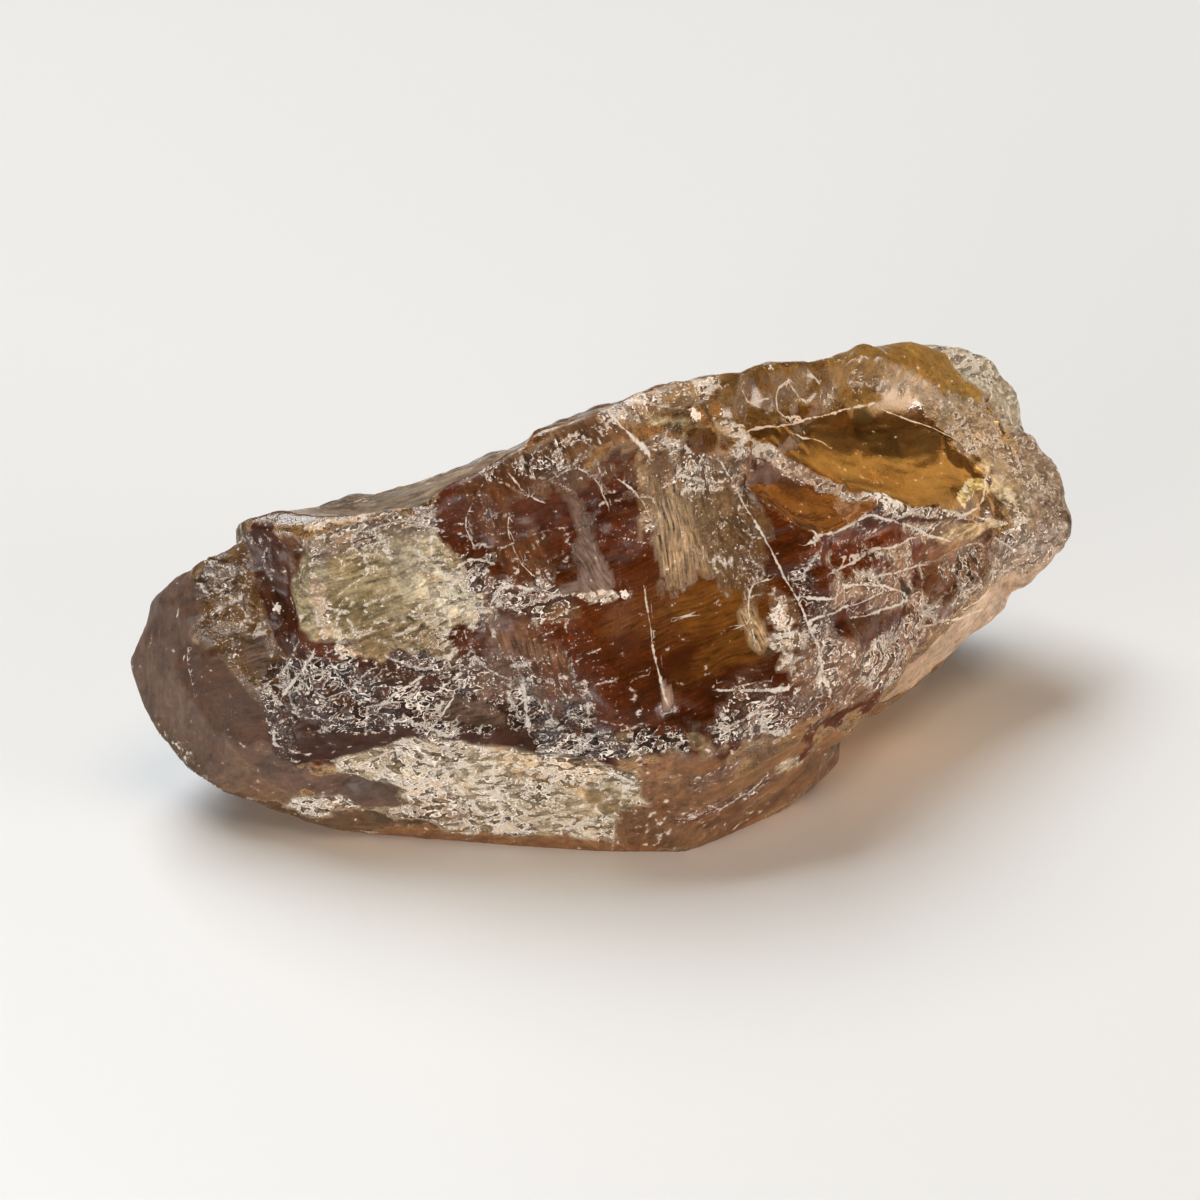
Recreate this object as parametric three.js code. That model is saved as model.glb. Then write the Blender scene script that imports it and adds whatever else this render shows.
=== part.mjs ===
// Raw apatite: one rough, translucent crystal fragment that rests on a small flat.
//
// The stone is four convex lobes grown together (body, left dome, rear lump, right rim).
// Shallow hollows are scooped out of them, small chips roughen the broken zones, and the
// skin is meshed along rays that leave a spine inside the stone. Millimetres, +Z up, with
// the origin under the middle of the stone, on the plane that it rests on.

import * as THREE from 'three';
import { ConvexHull } from 'three/addons/math/ConvexHull.js';

const { lerp, smoothstep } = THREE.MathUtils;

// ---- Driving dimensions -------------------------------------------------------------

const LENGTH = 33.3; // along X
const WIDTH = 15.4; // along Y
const HEIGHT = 14.6; // along Z

const SKIN_STEPS = [42, 20, 19]; // grid steps along X, Y and Z on the box of rays
const RAY_BOX = [16.6, 7.4, 7.2]; // half sizes of that box
const RAY_CENTRE = [0.3, 0.6, 6.3];
const SPINE_SHARE = 0.62; // how much of the box's length the spine has
const SPINE_SLOPE = [1, 0.17, 0.09]; // the spine climbs and turns back to the right

const EDGE_ROUND = 0.6; // rounding of the edges of a lobe
const SCOOP_ROUND = 0.3; // rounding of the rims of the hollows
const LOBE_BLEND = 0.6; // width over which two lobes run together
const UNDERCUT = 0.9; // undercuts up to about this deep are filled to a slope
const SAME_SIDE = 0.02; // two hull faces whose normals are this near are one side
const FOOT_RISE = 0.9; // chips fade out over this height above the foot
const RIM_BALL = 1.3; // least height of a hollow's ellipsoid, in half widths of its rim
const DEPTH_BALL = 1.5; // and in depths of the hollow

const CHIP_SIZES = [
  { size: 2.5, stretch: [1.35, 1, 0.9], depth: 0.55, seed: 1 },
  { size: 1.25, stretch: [1.3, 1, 0.85], depth: 0.3, seed: 21 },
];
const CHIP_LEVEL = 0.42; // height at which a chip neither adds nor takes
const CHIP_TILT = 1.1;
const CHIP_OFFSET = 0.35;
const RAGGED = [ // unevenness of the borders of the smooth faces
  { size: 2.3, height: 0.16, seed: 3 },
  { size: 0.9, height: 0.07, seed: 5 },
];
const CALM_EDGE = [0.8, 1.12]; // share of a smooth face's reach over which chips come back
const WARP = { size: 3.1, reach: 0.55, seeds: [11, 12, 13] };
const SWELLS = [
  { size: 4.5, height: 0.12, seed: 31 },
  { size: 1.7, height: 0.05, seed: 32 },
];

// ---- Lobes: the corners of each convex lump -----------------------------------------

const LOBES = {
  body: [
    // left step, from the top flat down to the front ridge
    [-12.5, 0.4, 10.2], [-11.9, -0.4, 10.3], [-10.7, -2.2, 9.6], [-11.1, -3.1, 6.2],
    [-11.4, -3.3, 3.6], [-12.0, 3.2, 8.2],
    // top flat, front edge and back edge
    [-9.7, -1.9, 10.9], [-6.9, -3.2, 11.7], [-5.4, -3.0, 12.6], [-10.2, 3.4, 8.7],
    [-5.7, 3.5, 8.7],
    // crest
    [-2.7, -3.0, 13.8], [-0.7, -2.8, 14.3], [1.8, -2.5, 14.6], [4.3, -1.8, 14.4],
    [6.3, -0.6, 13.8], [8.1, 1.0, 13.1], [9.9, 3.1, 12.5], [11.8, 4.3, 11.9],
    [13.3, 4.7, 11.2],
    // front face and its lower ridge
    [-8.3, -5.1, 4.5], [-3.8, -6.8, 3.9], [0.5, -8.1, 4.4], [4.0, -7.5, 4.5],
    [2.6, -4.8, 11.5], [3.7, -7.2, 8.8], [5.2, -7.0, 4.8],
    // right front ridge and the strip under it
    [5.2, -3.6, 11.5], [7.2, -2.8, 10.0], [9.5, -1.4, 8.4], [11.8, -0.8, 7.5],
    [13.6, -0.5, 6.6], [15.1, 3.7, 8.8], [15.6, 1.2, 5.2], [11.5, -1.5, 4.9],
    [6.8, -5.0, 3.4], [14.0, 0.0, 3.4], [11.7, -0.8, 2.9], [9.4, -1.8, 2.1],
    [7.3, -3.5, 0.8],
    // back
    [-7.2, 5.7, 5.0], [1.1, 5.6, 5.0], [7.7, 6.8, 6.0], [12.2, 7.4, 6.2],
    [-8.9, 3.6, 1.3], [0.8, 4.4, 1.0], [8.4, 5.6, 1.2], [0.4, 2.8, 10.1],
    [6.2, 4.8, 10.7], [13.2, 6.0, 2.2], [14.0, 4.0, 3.0],
    // foot, cut off flat at height 0
    [-7.5, -4.2, -0.2], [-2.4, -6.5, -0.2], [0.2, -7.3, -0.2], [4.1, -5.7, -0.2],
    [-7.6, 2.1, -0.2], [1.4, 2.9, -0.2], [7.9, 2.1, -0.2],
  ],
  leftDome: [
    [-16.3, 1.5, 5.0], [-15.3, 2.0, 6.4], [-14.5, 1.4, 8.1], [-13.7, 0.5, 9.1],
    [-11.8, 0.4, 9.6], [-10.5, 1.0, 9.4], [-16.1, 0.6, 3.7], [-15.6, -0.1, 2.7],
    [-14.5, -0.9, 1.6], [-11.8, -2.6, 0.6], [-14.6, -0.6, 6.0], [-11.9, -3.4, 3.4],
    [-11.9, -2.8, 5.2], [-13.0, -1.9, 6.9], [-12.0, -1.7, 8.0], [-14.6, 2.8, 2.7],
    [-13.2, 3.2, 1.7], [-12.6, 3.4, 7.0], [-8.0, 4.0, 6.0], [-8.0, -4.0, 5.0],
    [-7.3, -4.1, -0.2], [-8.0, 2.0, -0.2], [-10.6, 2.4, 0.7], [-10.2, -3.3, 0.15],
  ],
  rearLump: [
    [14.3, 6.2, 10.8], [15.5, 5.7, 10.2], [16.4, 5.4, 9.0], [15.9, 4.3, 8.0],
    [14.8, 4.2, 9.6], [11.5, 6.6, 10.6], [11.0, 4.0, 10.8], [10.0, 2.0, 6.0],
    [15.6, 6.4, 6.6], [14.0, 7.2, 6.0], [15.5, 3.4, 5.5], [16.5, 4.6, 6.6],
  ],
  rightRim: [
    [16.9, 1.2, 5.7], [16.6, 1.1, 4.8], [17.3, 2.8, 6.9], [17.0, 3.8, 7.5],
    [16.3, 4.6, 8.5], [14.6, 2.2, 8.4], [13.6, -0.4, 6.7], [14.4, 0.2, 3.7],
    [15.2, 2.8, 3.6], [16.0, 5.2, 5.4], [12.0, 1.0, 4.0], [12.0, 4.0, 6.0],
    [12.5, -0.5, 3.0],
  ],
};

// ---- Hollows: rim centre, way out, half sizes of the rim, depth, long direction ------

const SCOOPS = [
  // seen from the front, left to right
  { at: [-13.3, -0.8, 7.7], out: [-0.66, -0.6, 0.45], rim: [1.9, 1.5], depth: 0.3, along: [0.6, -0.6, -0.3] },
  { at: [-11.8, -1.6, 8.4], out: [-0.72, -0.62, 0.3], rim: [1.0, 2.6], depth: 0.55, along: [0.6, -0.7, 0] },
  { at: [-8.8, -3.6, 8.9], out: [-0.28, -0.9, 0.34], rim: [2.7, 2.5], depth: 0.75, along: [1, 0.1, 0.1] },
  { at: [-8.9, -4.2, 7.3], out: [-0.25, -0.93, 0.28], rim: [1.9, 1.5], depth: 0.5, along: [1, 0.1, -0.5] },
  { at: [-6.4, 0.0, 12.0], out: [-0.22, 0.4, 0.89], rim: [5.3, 4.1], depth: 1.6, along: [1, -0.15, 0.25] },
  { at: [-6.2, -5.2, 6.1], out: [-0.28, -0.93, 0.22], rim: [3.0, 1.2], depth: 0.45, along: [1, -0.2, -0.1] },
  { at: [-5.3, -4.1, 10.6], out: [-0.35, -0.83, 0.42], rim: [1.7, 1.6], depth: 0.55, along: [1, 0, 0.5] },
  { at: [-3.6, -4.5, 10.9], out: [-0.12, -0.83, 0.54], rim: [2.5, 2.1], depth: 0.8, along: [1, 0, 0.3] },
  { at: [-3.4, -0.6, 13.2], out: [-0.25, 0.45, 0.86], rim: [3.8, 2.6], depth: 0.6, along: [1, -0.1, 0.35] },
  { at: [-1.0, -4.4, 11.9], out: [0, -0.8, 0.6], rim: [1.9, 1.4], depth: 0.5, along: [1, 0, 0.3] },
  { at: [0.0, -6.0, 8.0], out: [0.03, -0.88, 0.46], rim: [4.2, 3.3], depth: 0.42, along: [1, -0.1, 0.3] },
  { at: [1.4, -5.0, 10.7], out: [0.02, -0.83, 0.56], rim: [1.7, 2.2], depth: 0.45, along: [1, 0, 0.2] },
  { at: [3.1, -6.9, 8.3], out: [0.1, -0.9, 0.42], rim: [1.0, 1.3], depth: 0.35, along: [1, 0, 0] },
  { at: [5.6, -1.2, 13.6], out: [0.35, -0.45, 0.82], rim: [1.3, 1.0], depth: 0.4, along: [1, 0.2, -0.2] },
  { at: [5.9, -3.2, 10.8], out: [0.45, -0.7, 0.56], rim: [2.9, 1.8], depth: 0.85, along: [1, 0.35, -0.6] },
  { at: [9.1, -0.35, 10.45], out: [0.5, -0.45, 0.73], rim: [6, 2.5], depth: 0.8, along: [0.84, 0.39, -0.38] },
  { at: [7.6, -3.9, 8.9], out: [0.55, -0.7, 0.45], rim: [3.4, 1.5], depth: 0.75, along: [0.85, 0.5, -0.3] },
  { at: [9.0, -4.1, 6.9], out: [0.64, -0.73, 0.24], rim: [5.6, 3.5], depth: 1.0, along: [0.8, 0.6, -0.2] },
  { at: [9.6, -2.5, 2.2], out: [0.42, -0.7, -0.55], rim: [2.4, 1.6], depth: 0.32, along: [1, 0.62, 0.45] },
  { at: [15.6, 1.9, 7.9], out: [0.7, -0.3, 0.65], rim: [1.5, 1.1], depth: 0.35, along: [0.3, 1, 0] },
  // back and underside
  { at: [-1.6, 5.2, 7.3], out: [-0.05, 0.95, 0.35], rim: [4.6, 2.8], depth: 1.0, along: [1, 0, 0.1] },
  { at: [8.6, 6.6, 8.8], out: [0.2, 0.9, 0.4], rim: [3.6, 2.2], depth: 0.9, along: [1, 0, -0.2] },
  { at: [-9.0, 4.6, 5.8], out: [-0.3, 0.95, 0.15], rim: [2.4, 2.6], depth: 0.6, along: [1, 0.2, 0] },
  { at: [3.6, 5.2, 2.6], out: [0, 0.9, -0.4], rim: [4.0, 1.6], depth: 0.7, along: [1, 0, 0] },
  { at: [3.6, 4.9, 9.3], out: [0.05, 0.75, 0.66], rim: [2.4, 1.6], depth: 0.6, along: [1, 0, -0.3] },
];

// ---- Smooth faces: centre, reach, and the share of the chipping that is left ---------

const SMOOTH = [
  { at: [-15.6, 0.2, 5.0], reach: [1.7, 2.0, 2.6], keep: 0.12 }, // tip of the dome
  { at: [-13.6, -1.9, 4.4], reach: [1.9, 1.6, 2.2], keep: 0.1 }, // three-cornered face
  { at: [-12.8, -1.9, 2.0], reach: [2.6, 1.6, 1.5], keep: 0.35 }, // under the dome
  { at: [-7.6, 0.4, 10.9], reach: [5.2, 3.6, 1.7], keep: 0.12 }, // top flat
  { at: [-8.6, -3.6, 8.4], reach: [2.3, 1.6, 2.0], keep: 0.45 }, // pale bowl
  { at: [0.2, -6.0, 7.6], reach: [3.4, 2.0, 2.9], keep: 0.06 }, // dark front face
  { at: [-3.4, -5.7, 7.2], reach: [1.6, 1.6, 1.6], keep: 0.35 }, // its left end
  { at: [1.2, -4.8, 10.6], reach: [1.7, 1.6, 1.9], keep: 0.3 }, // striped face above it
  { at: [9.4, 0.0, 10.0], reach: [5.2, 2.4, 2.6], keep: 0.05 }, // amber window
  { at: [5.9, -3.0, 10.8], reach: [2.2, 1.6, 1.5], keep: 0.15 }, // second window
  { at: [11.6, 3.2, 11.3], reach: [3.2, 2.2, 1.7], keep: 0.1 }, // round top at the right
  { at: [11.6, -1.5, 3.6], reach: [4.6, 2.0, 1.2], keep: 0.25 }, // strip underneath
  { at: [2.4, -7.3, 2.6], reach: [3.6, 1.8, 1.5], keep: 0.35 }, // lower right front
  { at: [-4.2, -6.0, 2.0], reach: [6.2, 2.0, 2.2], keep: 0.3 }, // fibrous patch
  { at: [-1.6, 5.2, 7.0], reach: [4.0, 2.4, 2.6], keep: 0.15 }, // shell break at the back
  { at: [9.0, 6.6, 8.6], reach: [3.0, 2.0, 2.0], keep: 0.2 },
  { at: [2.6, 2.0, 12.4], reach: [5.0, 2.6, 1.8], keep: 0.35 },
  { at: [2.5, 5.0, 3.0], reach: [6.0, 2.0, 2.0], keep: 0.4 },
];

// ---- Small helpers ------------------------------------------------------------------

const vector = (list) => new THREE.Vector3(...list);

// The lesser of two values, with the corner between them rounded over a width.
function softLeast(a, b, width) {
  const overlap = Math.max(width - Math.abs(a - b), 0);
  return Math.min(a, b) - (overlap * overlap) / (4 * width);
}

// The greater of two values, rounded in the same way.
function softMost(a, b, width) {
  return -softLeast(-a, -b, width);
}

// A fixed number from 0 to 1 for each cell of a grid and each seed: a sine's far digits.
const RATE = { x: 12.9898, y: 78.233, z: 37.719, seed: 4.1414, digits: 43758.5453 };
function cellValue(x, y, z, seed) {
  const angle = x * RATE.x + y * RATE.y + z * RATE.z + seed * RATE.seed;
  const wave = Math.sin(angle) * RATE.digits;
  return wave - Math.floor(wave);
}

// Smooth noise from -1 to 1: cell values blended between the corners of a cell.
const SEED_SHIFT = 7.31; // cells between the layouts of two seeds
function noise(point, size, seed) {
  const q = point.toArray().map((value) => value / size + seed * SEED_SHIFT);
  const low = q.map(Math.floor);
  const part = q.map((value, axis) => value - low[axis]).map((f) => f * f * (3 - 2 * f));
  let sum = 0;
  for (let corner = 0; corner < 8; corner += 1) {
    const step = [corner & 1, (corner >> 1) & 1, (corner >> 2) & 1];
    const weight = part.reduce((w, f, axis) => w * (step[axis] ? f : 1 - f), 1);
    sum += weight * cellValue(low[0] + step[0], low[1] + step[1], low[2] + step[2], seed);
  }
  return sum * 2 - 1;
}

// Height of a field of small bowls: each cell holds one tilted bowl, the lowest wins.
function chipHeight(point, { size, stretch, seed }) {
  const q = point.toArray().map((value, axis) => value / (size * stretch[axis]));
  const cell = q.map(Math.floor);
  let lowest = Infinity;
  for (let i = -1; i <= 1; i += 1) {
    for (let j = -1; j <= 1; j += 1) {
      for (let k = -1; k <= 1; k += 1) {
        const [x, y, z] = [cell[0] + i, cell[1] + j, cell[2] + k];
        const away = [x, y, z].map((c, axis) => q[axis] - c - cellValue(x, y, z, seed + axis + 1));
        const tilt = away.reduce((s, a, axis) => s + (cellValue(x, y, z, seed + axis + 4) - 0.5) * a, 0);
        const bowl = away.reduce((s, a) => s + a * a, 0);
        const height = bowl + CHIP_TILT * tilt + CHIP_OFFSET * cellValue(x, y, z, seed + 7);
        lowest = Math.min(lowest, height);
      }
    }
  }
  return lowest;
}

// ---- Lobes and hollows as things that a ray meets -------------------------------------

// The flat sides of a lobe's convex hull, each side once.
function lobeSides(corners) {
  const hull = new ConvexHull().setFromPoints(corners.map(vector));
  const sides = [];
  for (const { normal, constant } of hull.faces) {
    if (sides.every(({ out }) => out.distanceTo(normal) > SAME_SIDE)) {
      sides.push({ out: normal.clone(), offset: constant });
    }
  }
  return sides;
}

// Where a ray enters a lobe and where it leaves it, with the leaving edge rounded.
function crossLobe(sides, from, way) {
  let enter = -Infinity;
  let leave = Infinity;
  let next = Infinity;
  for (const { out, offset } of sides) {
    const speed = out.dot(way);
    const distance = (offset - out.dot(from)) / speed;
    if (speed < 0) {
      enter = Math.max(enter, distance);
    } else if (distance < leave) {
      next = leave;
      leave = distance;
    } else {
      next = Math.min(next, distance);
    }
  }
  return { enter, leave: softLeast(leave, next, EDGE_ROUND) };
}

// A hollow is the cap of an ellipsoid whose rim lies on the stone.
function hollow({ at, out, rim, depth, along }) {
  const outward = vector(out).normalize();
  const first = vector(along);
  first.addScaledVector(outward, -first.dot(outward)).normalize();
  const second = new THREE.Vector3().crossVectors(outward, first);
  const height = Math.max(Math.min(...rim) * RIM_BALL, depth * DEPTH_BALL);
  const spread = Math.sqrt(1 - ((height - depth) / height) ** 2);
  const centre = vector(at).addScaledVector(outward, height - depth);
  const axes = [
    first.multiplyScalar(spread / rim[0]),
    second.multiplyScalar(spread / rim[1]),
    outward.multiplyScalar(1 / height),
  ];
  return { centre, axes };
}

// Where a ray runs into a hollow, or Infinity where it misses.
function enterHollow({ centre, axes }, from, way) {
  const away = from.clone().sub(centre);
  const start = axes.map((axis) => axis.dot(away));
  const step = axes.map((axis) => axis.dot(way));
  const a = step.reduce((sum, value) => sum + value * value, 0);
  const b = step.reduce((sum, value, axis) => sum + value * start[axis], 0);
  const c = start.reduce((sum, value) => sum + value * value, 0) - 1;
  const inside = b * b - a * c;
  return inside > 0 && b < 0 ? (-b - Math.sqrt(inside)) / a : Infinity;
}

const lobes = Object.values(LOBES).map(lobeSides);
const hollows = SCOOPS.map(hollow);

// The skin's distance along a ray: out of the lobes, but not past the first hollow.
function skinDistance(from, way) {
  const [body, ...others] = lobes;
  let reach = crossLobe(body, from, way).leave;
  for (const lobe of others) {
    const { enter, leave } = crossLobe(lobe, from, way);
    const apart = smoothstep(enter, reach - UNDERCUT, reach + UNDERCUT);
    if (leave > enter && apart < 1) {
      reach = lerp(softMost(reach, leave, LOBE_BLEND), reach, apart);
    }
  }
  const stops = hollows.map((one) => enterHollow(one, from, way));
  stops.push(reach);
  stops.sort((a, b) => a - b);
  return softLeast(stops[0], stops[1], SCOOP_ROUND);
}

// ---- The grid of rays ---------------------------------------------------------------

// Grid points on the surface of a box, each once, and the squares between them.
function boxGrid(steps) {
  const numbers = new Map();
  const places = [];
  const number = (i, j, k) => {
    const key = `${i},${j},${k}`;
    if (!numbers.has(key)) {
      numbers.set(key, places.length);
      places.push([i, j, k].map((value, axis) => (2 * value) / steps[axis] - 1));
    }
    return numbers.get(key);
  };
  const squares = [];
  for (let axis = 0; axis < 3; axis += 1) {
    const u = (axis + 1) % 3;
    const v = (axis + 2) % 3;
    for (const side of [0, steps[axis]]) {
      for (let i = 0; i < steps[u]; i += 1) {
        for (let j = 0; j < steps[v]; j += 1) {
          const square = [[i, j], [i + 1, j], [i + 1, j + 1], [i, j + 1]].map(([p, q]) => {
            const place = [];
            place[axis] = side;
            place[u] = p;
            place[v] = q;
            return number(...place);
          });
          squares.push(side ? square : square.reverse());
        }
      }
    }
  }
  return { places, squares };
}

// The smooth skin: one point on each ray.
function baseSkin(places) {
  return places.map((place) => {
    const box = place.map((value, axis) => value * RAY_BOX[axis]);
    const from = vector(RAY_CENTRE).addScaledVector(vector(SPINE_SLOPE), box[0] * SPINE_SHARE);
    const way = vector(SPINE_SLOPE).multiplyScalar(box[0] * (1 - SPINE_SHARE));
    way.add(new THREE.Vector3(0, box[1], box[2])).normalize();
    return from.addScaledVector(way, skinDistance(from, way));
  });
}

// Two triangles for each square, split along its outer diagonal, which keeps ridges crisp.
function splitSquares(squares, points) {
  return squares.flatMap(([a, b, c, d]) => {
    const first = points[c].clone().sub(points[a]);
    const second = points[d].clone().sub(points[b]);
    const outward = new THREE.Vector3().crossVectors(first, second);
    const lift = points[a].clone().add(points[c]).sub(points[b]).sub(points[d]).dot(outward);
    return lift > 0 ? [a, b, c, a, c, d] : [a, b, d, b, c, d];
  });
}

// ---- Chips --------------------------------------------------------------------------

// Share of the chipping at a point: low on the smooth faces, with ragged borders.
function chipShare(point) {
  const ragged = RAGGED.reduce((sum, { size, height, seed }) => sum + noise(point, size, seed) * height, 0);
  return SMOOTH.reduce((share, { at, reach, keep }) => {
    const away = point.clone().sub(vector(at)).divide(vector(reach)).length() + ragged;
    return share * (keep + (1 - keep) * smoothstep(away, ...CALM_EDGE));
  }, 1);
}

// How far a point moves out along its normal.
function relief(point) {
  const bend = WARP.seeds.map((seed) => noise(point, WARP.size, seed) * WARP.reach);
  const bent = point.clone().add(vector(bend));
  const share = chipShare(point);
  let out = 0;
  for (const chips of CHIP_SIZES) {
    out -= (chipHeight(bent, chips) - CHIP_LEVEL) * chips.depth * share;
  }
  for (const { size, height, seed } of SWELLS) {
    out += noise(point, size, seed) * height;
  }
  return out * smoothstep(point.z, 0, FOOT_RISE);
}

// ---- The stone ----------------------------------------------------------------------

function geometryOf(points, triangles) {
  const geometry = new THREE.BufferGeometry().setFromPoints(points);
  geometry.setIndex(triangles);
  geometry.computeVertexNormals();
  return geometry;
}

function stoneGeometry() {
  const { places, squares } = boxGrid(SKIN_STEPS);
  const skin = baseSkin(places);
  const smooth = geometryOf(skin, splitSquares(squares, skin));
  const normals = smooth.getAttribute('normal');
  const points = skin.map((point, index) => {
    const normal = new THREE.Vector3().fromBufferAttribute(normals, index);
    const moved = point.clone().addScaledVector(normal, relief(point));
    moved.z = Math.max(moved.z, 0);
    return moved;
  });
  const stone = geometryOf(points, splitSquares(squares, points));
  stone.computeBoundingBox();
  const size = stone.boundingBox.getSize(new THREE.Vector3());
  const middle = stone.boundingBox.getCenter(new THREE.Vector3());
  stone.translate(-middle.x, -middle.y, 0);
  stone.scale(LENGTH / size.x, WIDTH / size.y, HEIGHT / size.z);
  return stone;
}

const roughCrystal = new THREE.MeshStandardMaterial({
  color: 0x7a4f2a,
  roughness: 0.42,
  metalness: 0,
});

const apatite = new THREE.Mesh(stoneGeometry(), roughCrystal);
apatite.name = 'apatite';

const group = new THREE.Group();
group.add(apatite);

export default group;
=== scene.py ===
"""A raw apatite crystal fragment, broken all round, lying on a pale floor.

The stone is one closed surface. Rays leave a slanted line inside it through the lattice of a box.
Each ray ends at the first cleavage plane or shell-shaped break that it meets, and four sizes of
chipping are then worn into the skin. Finishes are laid on as strokes in the stone's own millimetres.
"""

import itertools
import logging
from dataclasses import dataclass
from enum import Enum

import bpy
import numpy as np
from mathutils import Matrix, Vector


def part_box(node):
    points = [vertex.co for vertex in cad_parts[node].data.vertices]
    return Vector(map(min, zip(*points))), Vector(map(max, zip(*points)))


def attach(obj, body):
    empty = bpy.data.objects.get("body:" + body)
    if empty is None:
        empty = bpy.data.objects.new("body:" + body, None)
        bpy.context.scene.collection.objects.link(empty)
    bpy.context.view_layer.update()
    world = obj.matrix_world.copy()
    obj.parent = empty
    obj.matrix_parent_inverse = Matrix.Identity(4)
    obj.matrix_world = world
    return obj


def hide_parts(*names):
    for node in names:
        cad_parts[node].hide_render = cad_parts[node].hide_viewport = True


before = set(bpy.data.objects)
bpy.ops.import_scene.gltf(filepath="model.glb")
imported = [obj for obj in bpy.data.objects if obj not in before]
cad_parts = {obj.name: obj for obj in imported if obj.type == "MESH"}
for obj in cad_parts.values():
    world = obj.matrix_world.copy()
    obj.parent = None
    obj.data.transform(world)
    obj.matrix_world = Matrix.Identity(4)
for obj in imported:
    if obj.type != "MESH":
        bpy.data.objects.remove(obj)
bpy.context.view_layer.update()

MM = 0.001
NODE = "apatite"
BODY = "root"
log = logging.getLogger("apatite")

Point = tuple[float, float, float]
Array = np.ndarray
Tint = tuple[float, float, float]
Tint4 = tuple[float, float, float, float]
Layers = tuple[tuple[float, float, float], ...]


# ---------------------------------------------------------------- finishes


@dataclass(frozen=True)
class Look:
    """How one finish looks: colour, clearness and the marks on it.

    Attributes:
        tint: display colour of the skin, 0 to 1.
        clear: share of the light that passes through the skin.
        rough: roughness of the skin.
        curls: how densely thin white flake edges, partly painted highlights on their crests, cover it.
        dust: how densely fine white specks cover it.
        grain: depth of the striae that run along the stroke.
        rubble: depth of the finest chipping.
    """

    tint: Tint
    clear: float
    rough: float
    curls: float = 0.0
    dust: float = 0.0
    grain: float = 0.0
    rubble: float = 0.3


class Finish(Enum):
    """The kinds of skin that the stone has."""

    SMOKY = Look((0.31, 0.155, 0.065), 0.35, 0.18, 0.00, 0.00, 0.80, 0.10)
    HONEY = Look((0.95, 0.72, 0.38), 0.96, 0.10, 0.00, 0.00, 0.04, 0.02)
    COGNAC = Look((0.70, 0.46, 0.25), 0.92, 0.12, 0.06, 0.02, 0.06, 0.12)
    BACK = Look((0.90, 0.74, 0.54), 0.92, 0.16, 0.12, 0.04, 0.10, 0.25)
    OLIVE = Look((0.41, 0.30, 0.18), 0.45, 0.28, 0.36, 0.12, 0.15, 0.45)
    CLOUD = Look((0.70, 0.60, 0.43), 0.20, 0.25, 0.48, 0.08, 0.70, 0.35)
    MAUVE = Look((0.36, 0.25, 0.18), 0.20, 0.38, 0.05, 0.05, 0.30, 0.08)
    CRUST = Look((0.27, 0.16, 0.11), 0.30, 0.32, 0.67, 0.20, 0.10, 0.80)
    FROST = Look((0.66, 0.53, 0.38), 0.45, 0.40, 0.74, 0.22, 0.10, 0.60)
    CREAM = Look((0.66, 0.59, 0.49), 0.03, 0.60, 0.78, 0.20, 0.40, 0.50)
    TAN = Look((0.66, 0.56, 0.42), 0.20, 0.40, 0.20, 0.04, 1.80, 0.20)
    LILAC = Look((0.44, 0.36, 0.31), 0.10, 0.40, 0.06, 0.04, 1.10, 0.20)
    CHALK = Look((0.74, 0.63, 0.52), 0.10, 0.60, 1.00, 0.42, 0.05, 0.90)
    SILK = Look((0.66, 0.57, 0.48), 0.45, 0.26, 0.10, 0.06, 1.00, 0.10)
    BLUSH = Look((0.90, 0.76, 0.64), 0.45, 0.30, 0.18, 0.05, 0.20, 0.15)
    RUST = Look((0.33, 0.16, 0.07), 0.15, 0.30, 0.26, 0.03, 0.50, 0.10)
    PITCH = Look((0.08, 0.05, 0.04), 0.20, 0.30, 0.00, 0.00, 0.00, 0.20)
    DOME = Look((0.72, 0.55, 0.29), 0.50, 0.24, 0.10, 0.03, 0.00, 0.00)
    ICE = Look((0.74, 0.63, 0.49), 0.45, 0.34, 0.58, 0.18, 0.10, 0.50)


CHALK_COLOUR = (0.96, 0.87, 0.77, 1.0)
SHADOW_GAIN = (0.5, 0.5, 0.5)
SHADOW_FLOOR = (0.24, 0.20, 0.17)
DISPLAY_GAMMA = 2.2


# ---------------------------------------------------------------- form


@dataclass(frozen=True)
class Lobe:
    """One convex mass of the stone: the cleavage planes round a set of corners.

    Attributes:
        name: what the mass is.
        corners: its corners in stone millimetres.
    """

    name: str
    corners: tuple[Point, ...]

    def planes(self) -> tuple[Array, Array]:
        """Finds the flat sides of the convex hull.

        Every three corners make a plane, and it is a side when all other corners lie behind it.

        Returns:
            Outward unit normals, and each side's distance from the origin.
        """
        points = np.array(self.corners)
        triples = np.array(list(itertools.combinations(range(len(points)), 3)))
        first, second, third = (points[triples[:, k]] for k in range(3))
        normal = np.cross(second - first, third - first)
        length = np.linalg.norm(normal, axis=1)
        real = length > HULL_TOLERANCE
        normal = normal[real] / length[real, None]
        reach = (normal * first[real]).sum(1)
        ahead = normal @ points.T - reach[:, None]
        out, back = (ahead < HULL_TOLERANCE).all(1), (ahead > -HULL_TOLERANCE).all(1)
        normals = np.vstack([normal[out], -normal[back]])
        reaches = np.concatenate([reach[out], -reach[back]])
        apart = np.linalg.norm(normals[:, None] - normals[None], axis=2)
        repeated = np.tril(apart < SAME_SIDE, -1).any(1)
        return normals[~repeated], reaches[~repeated]


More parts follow.
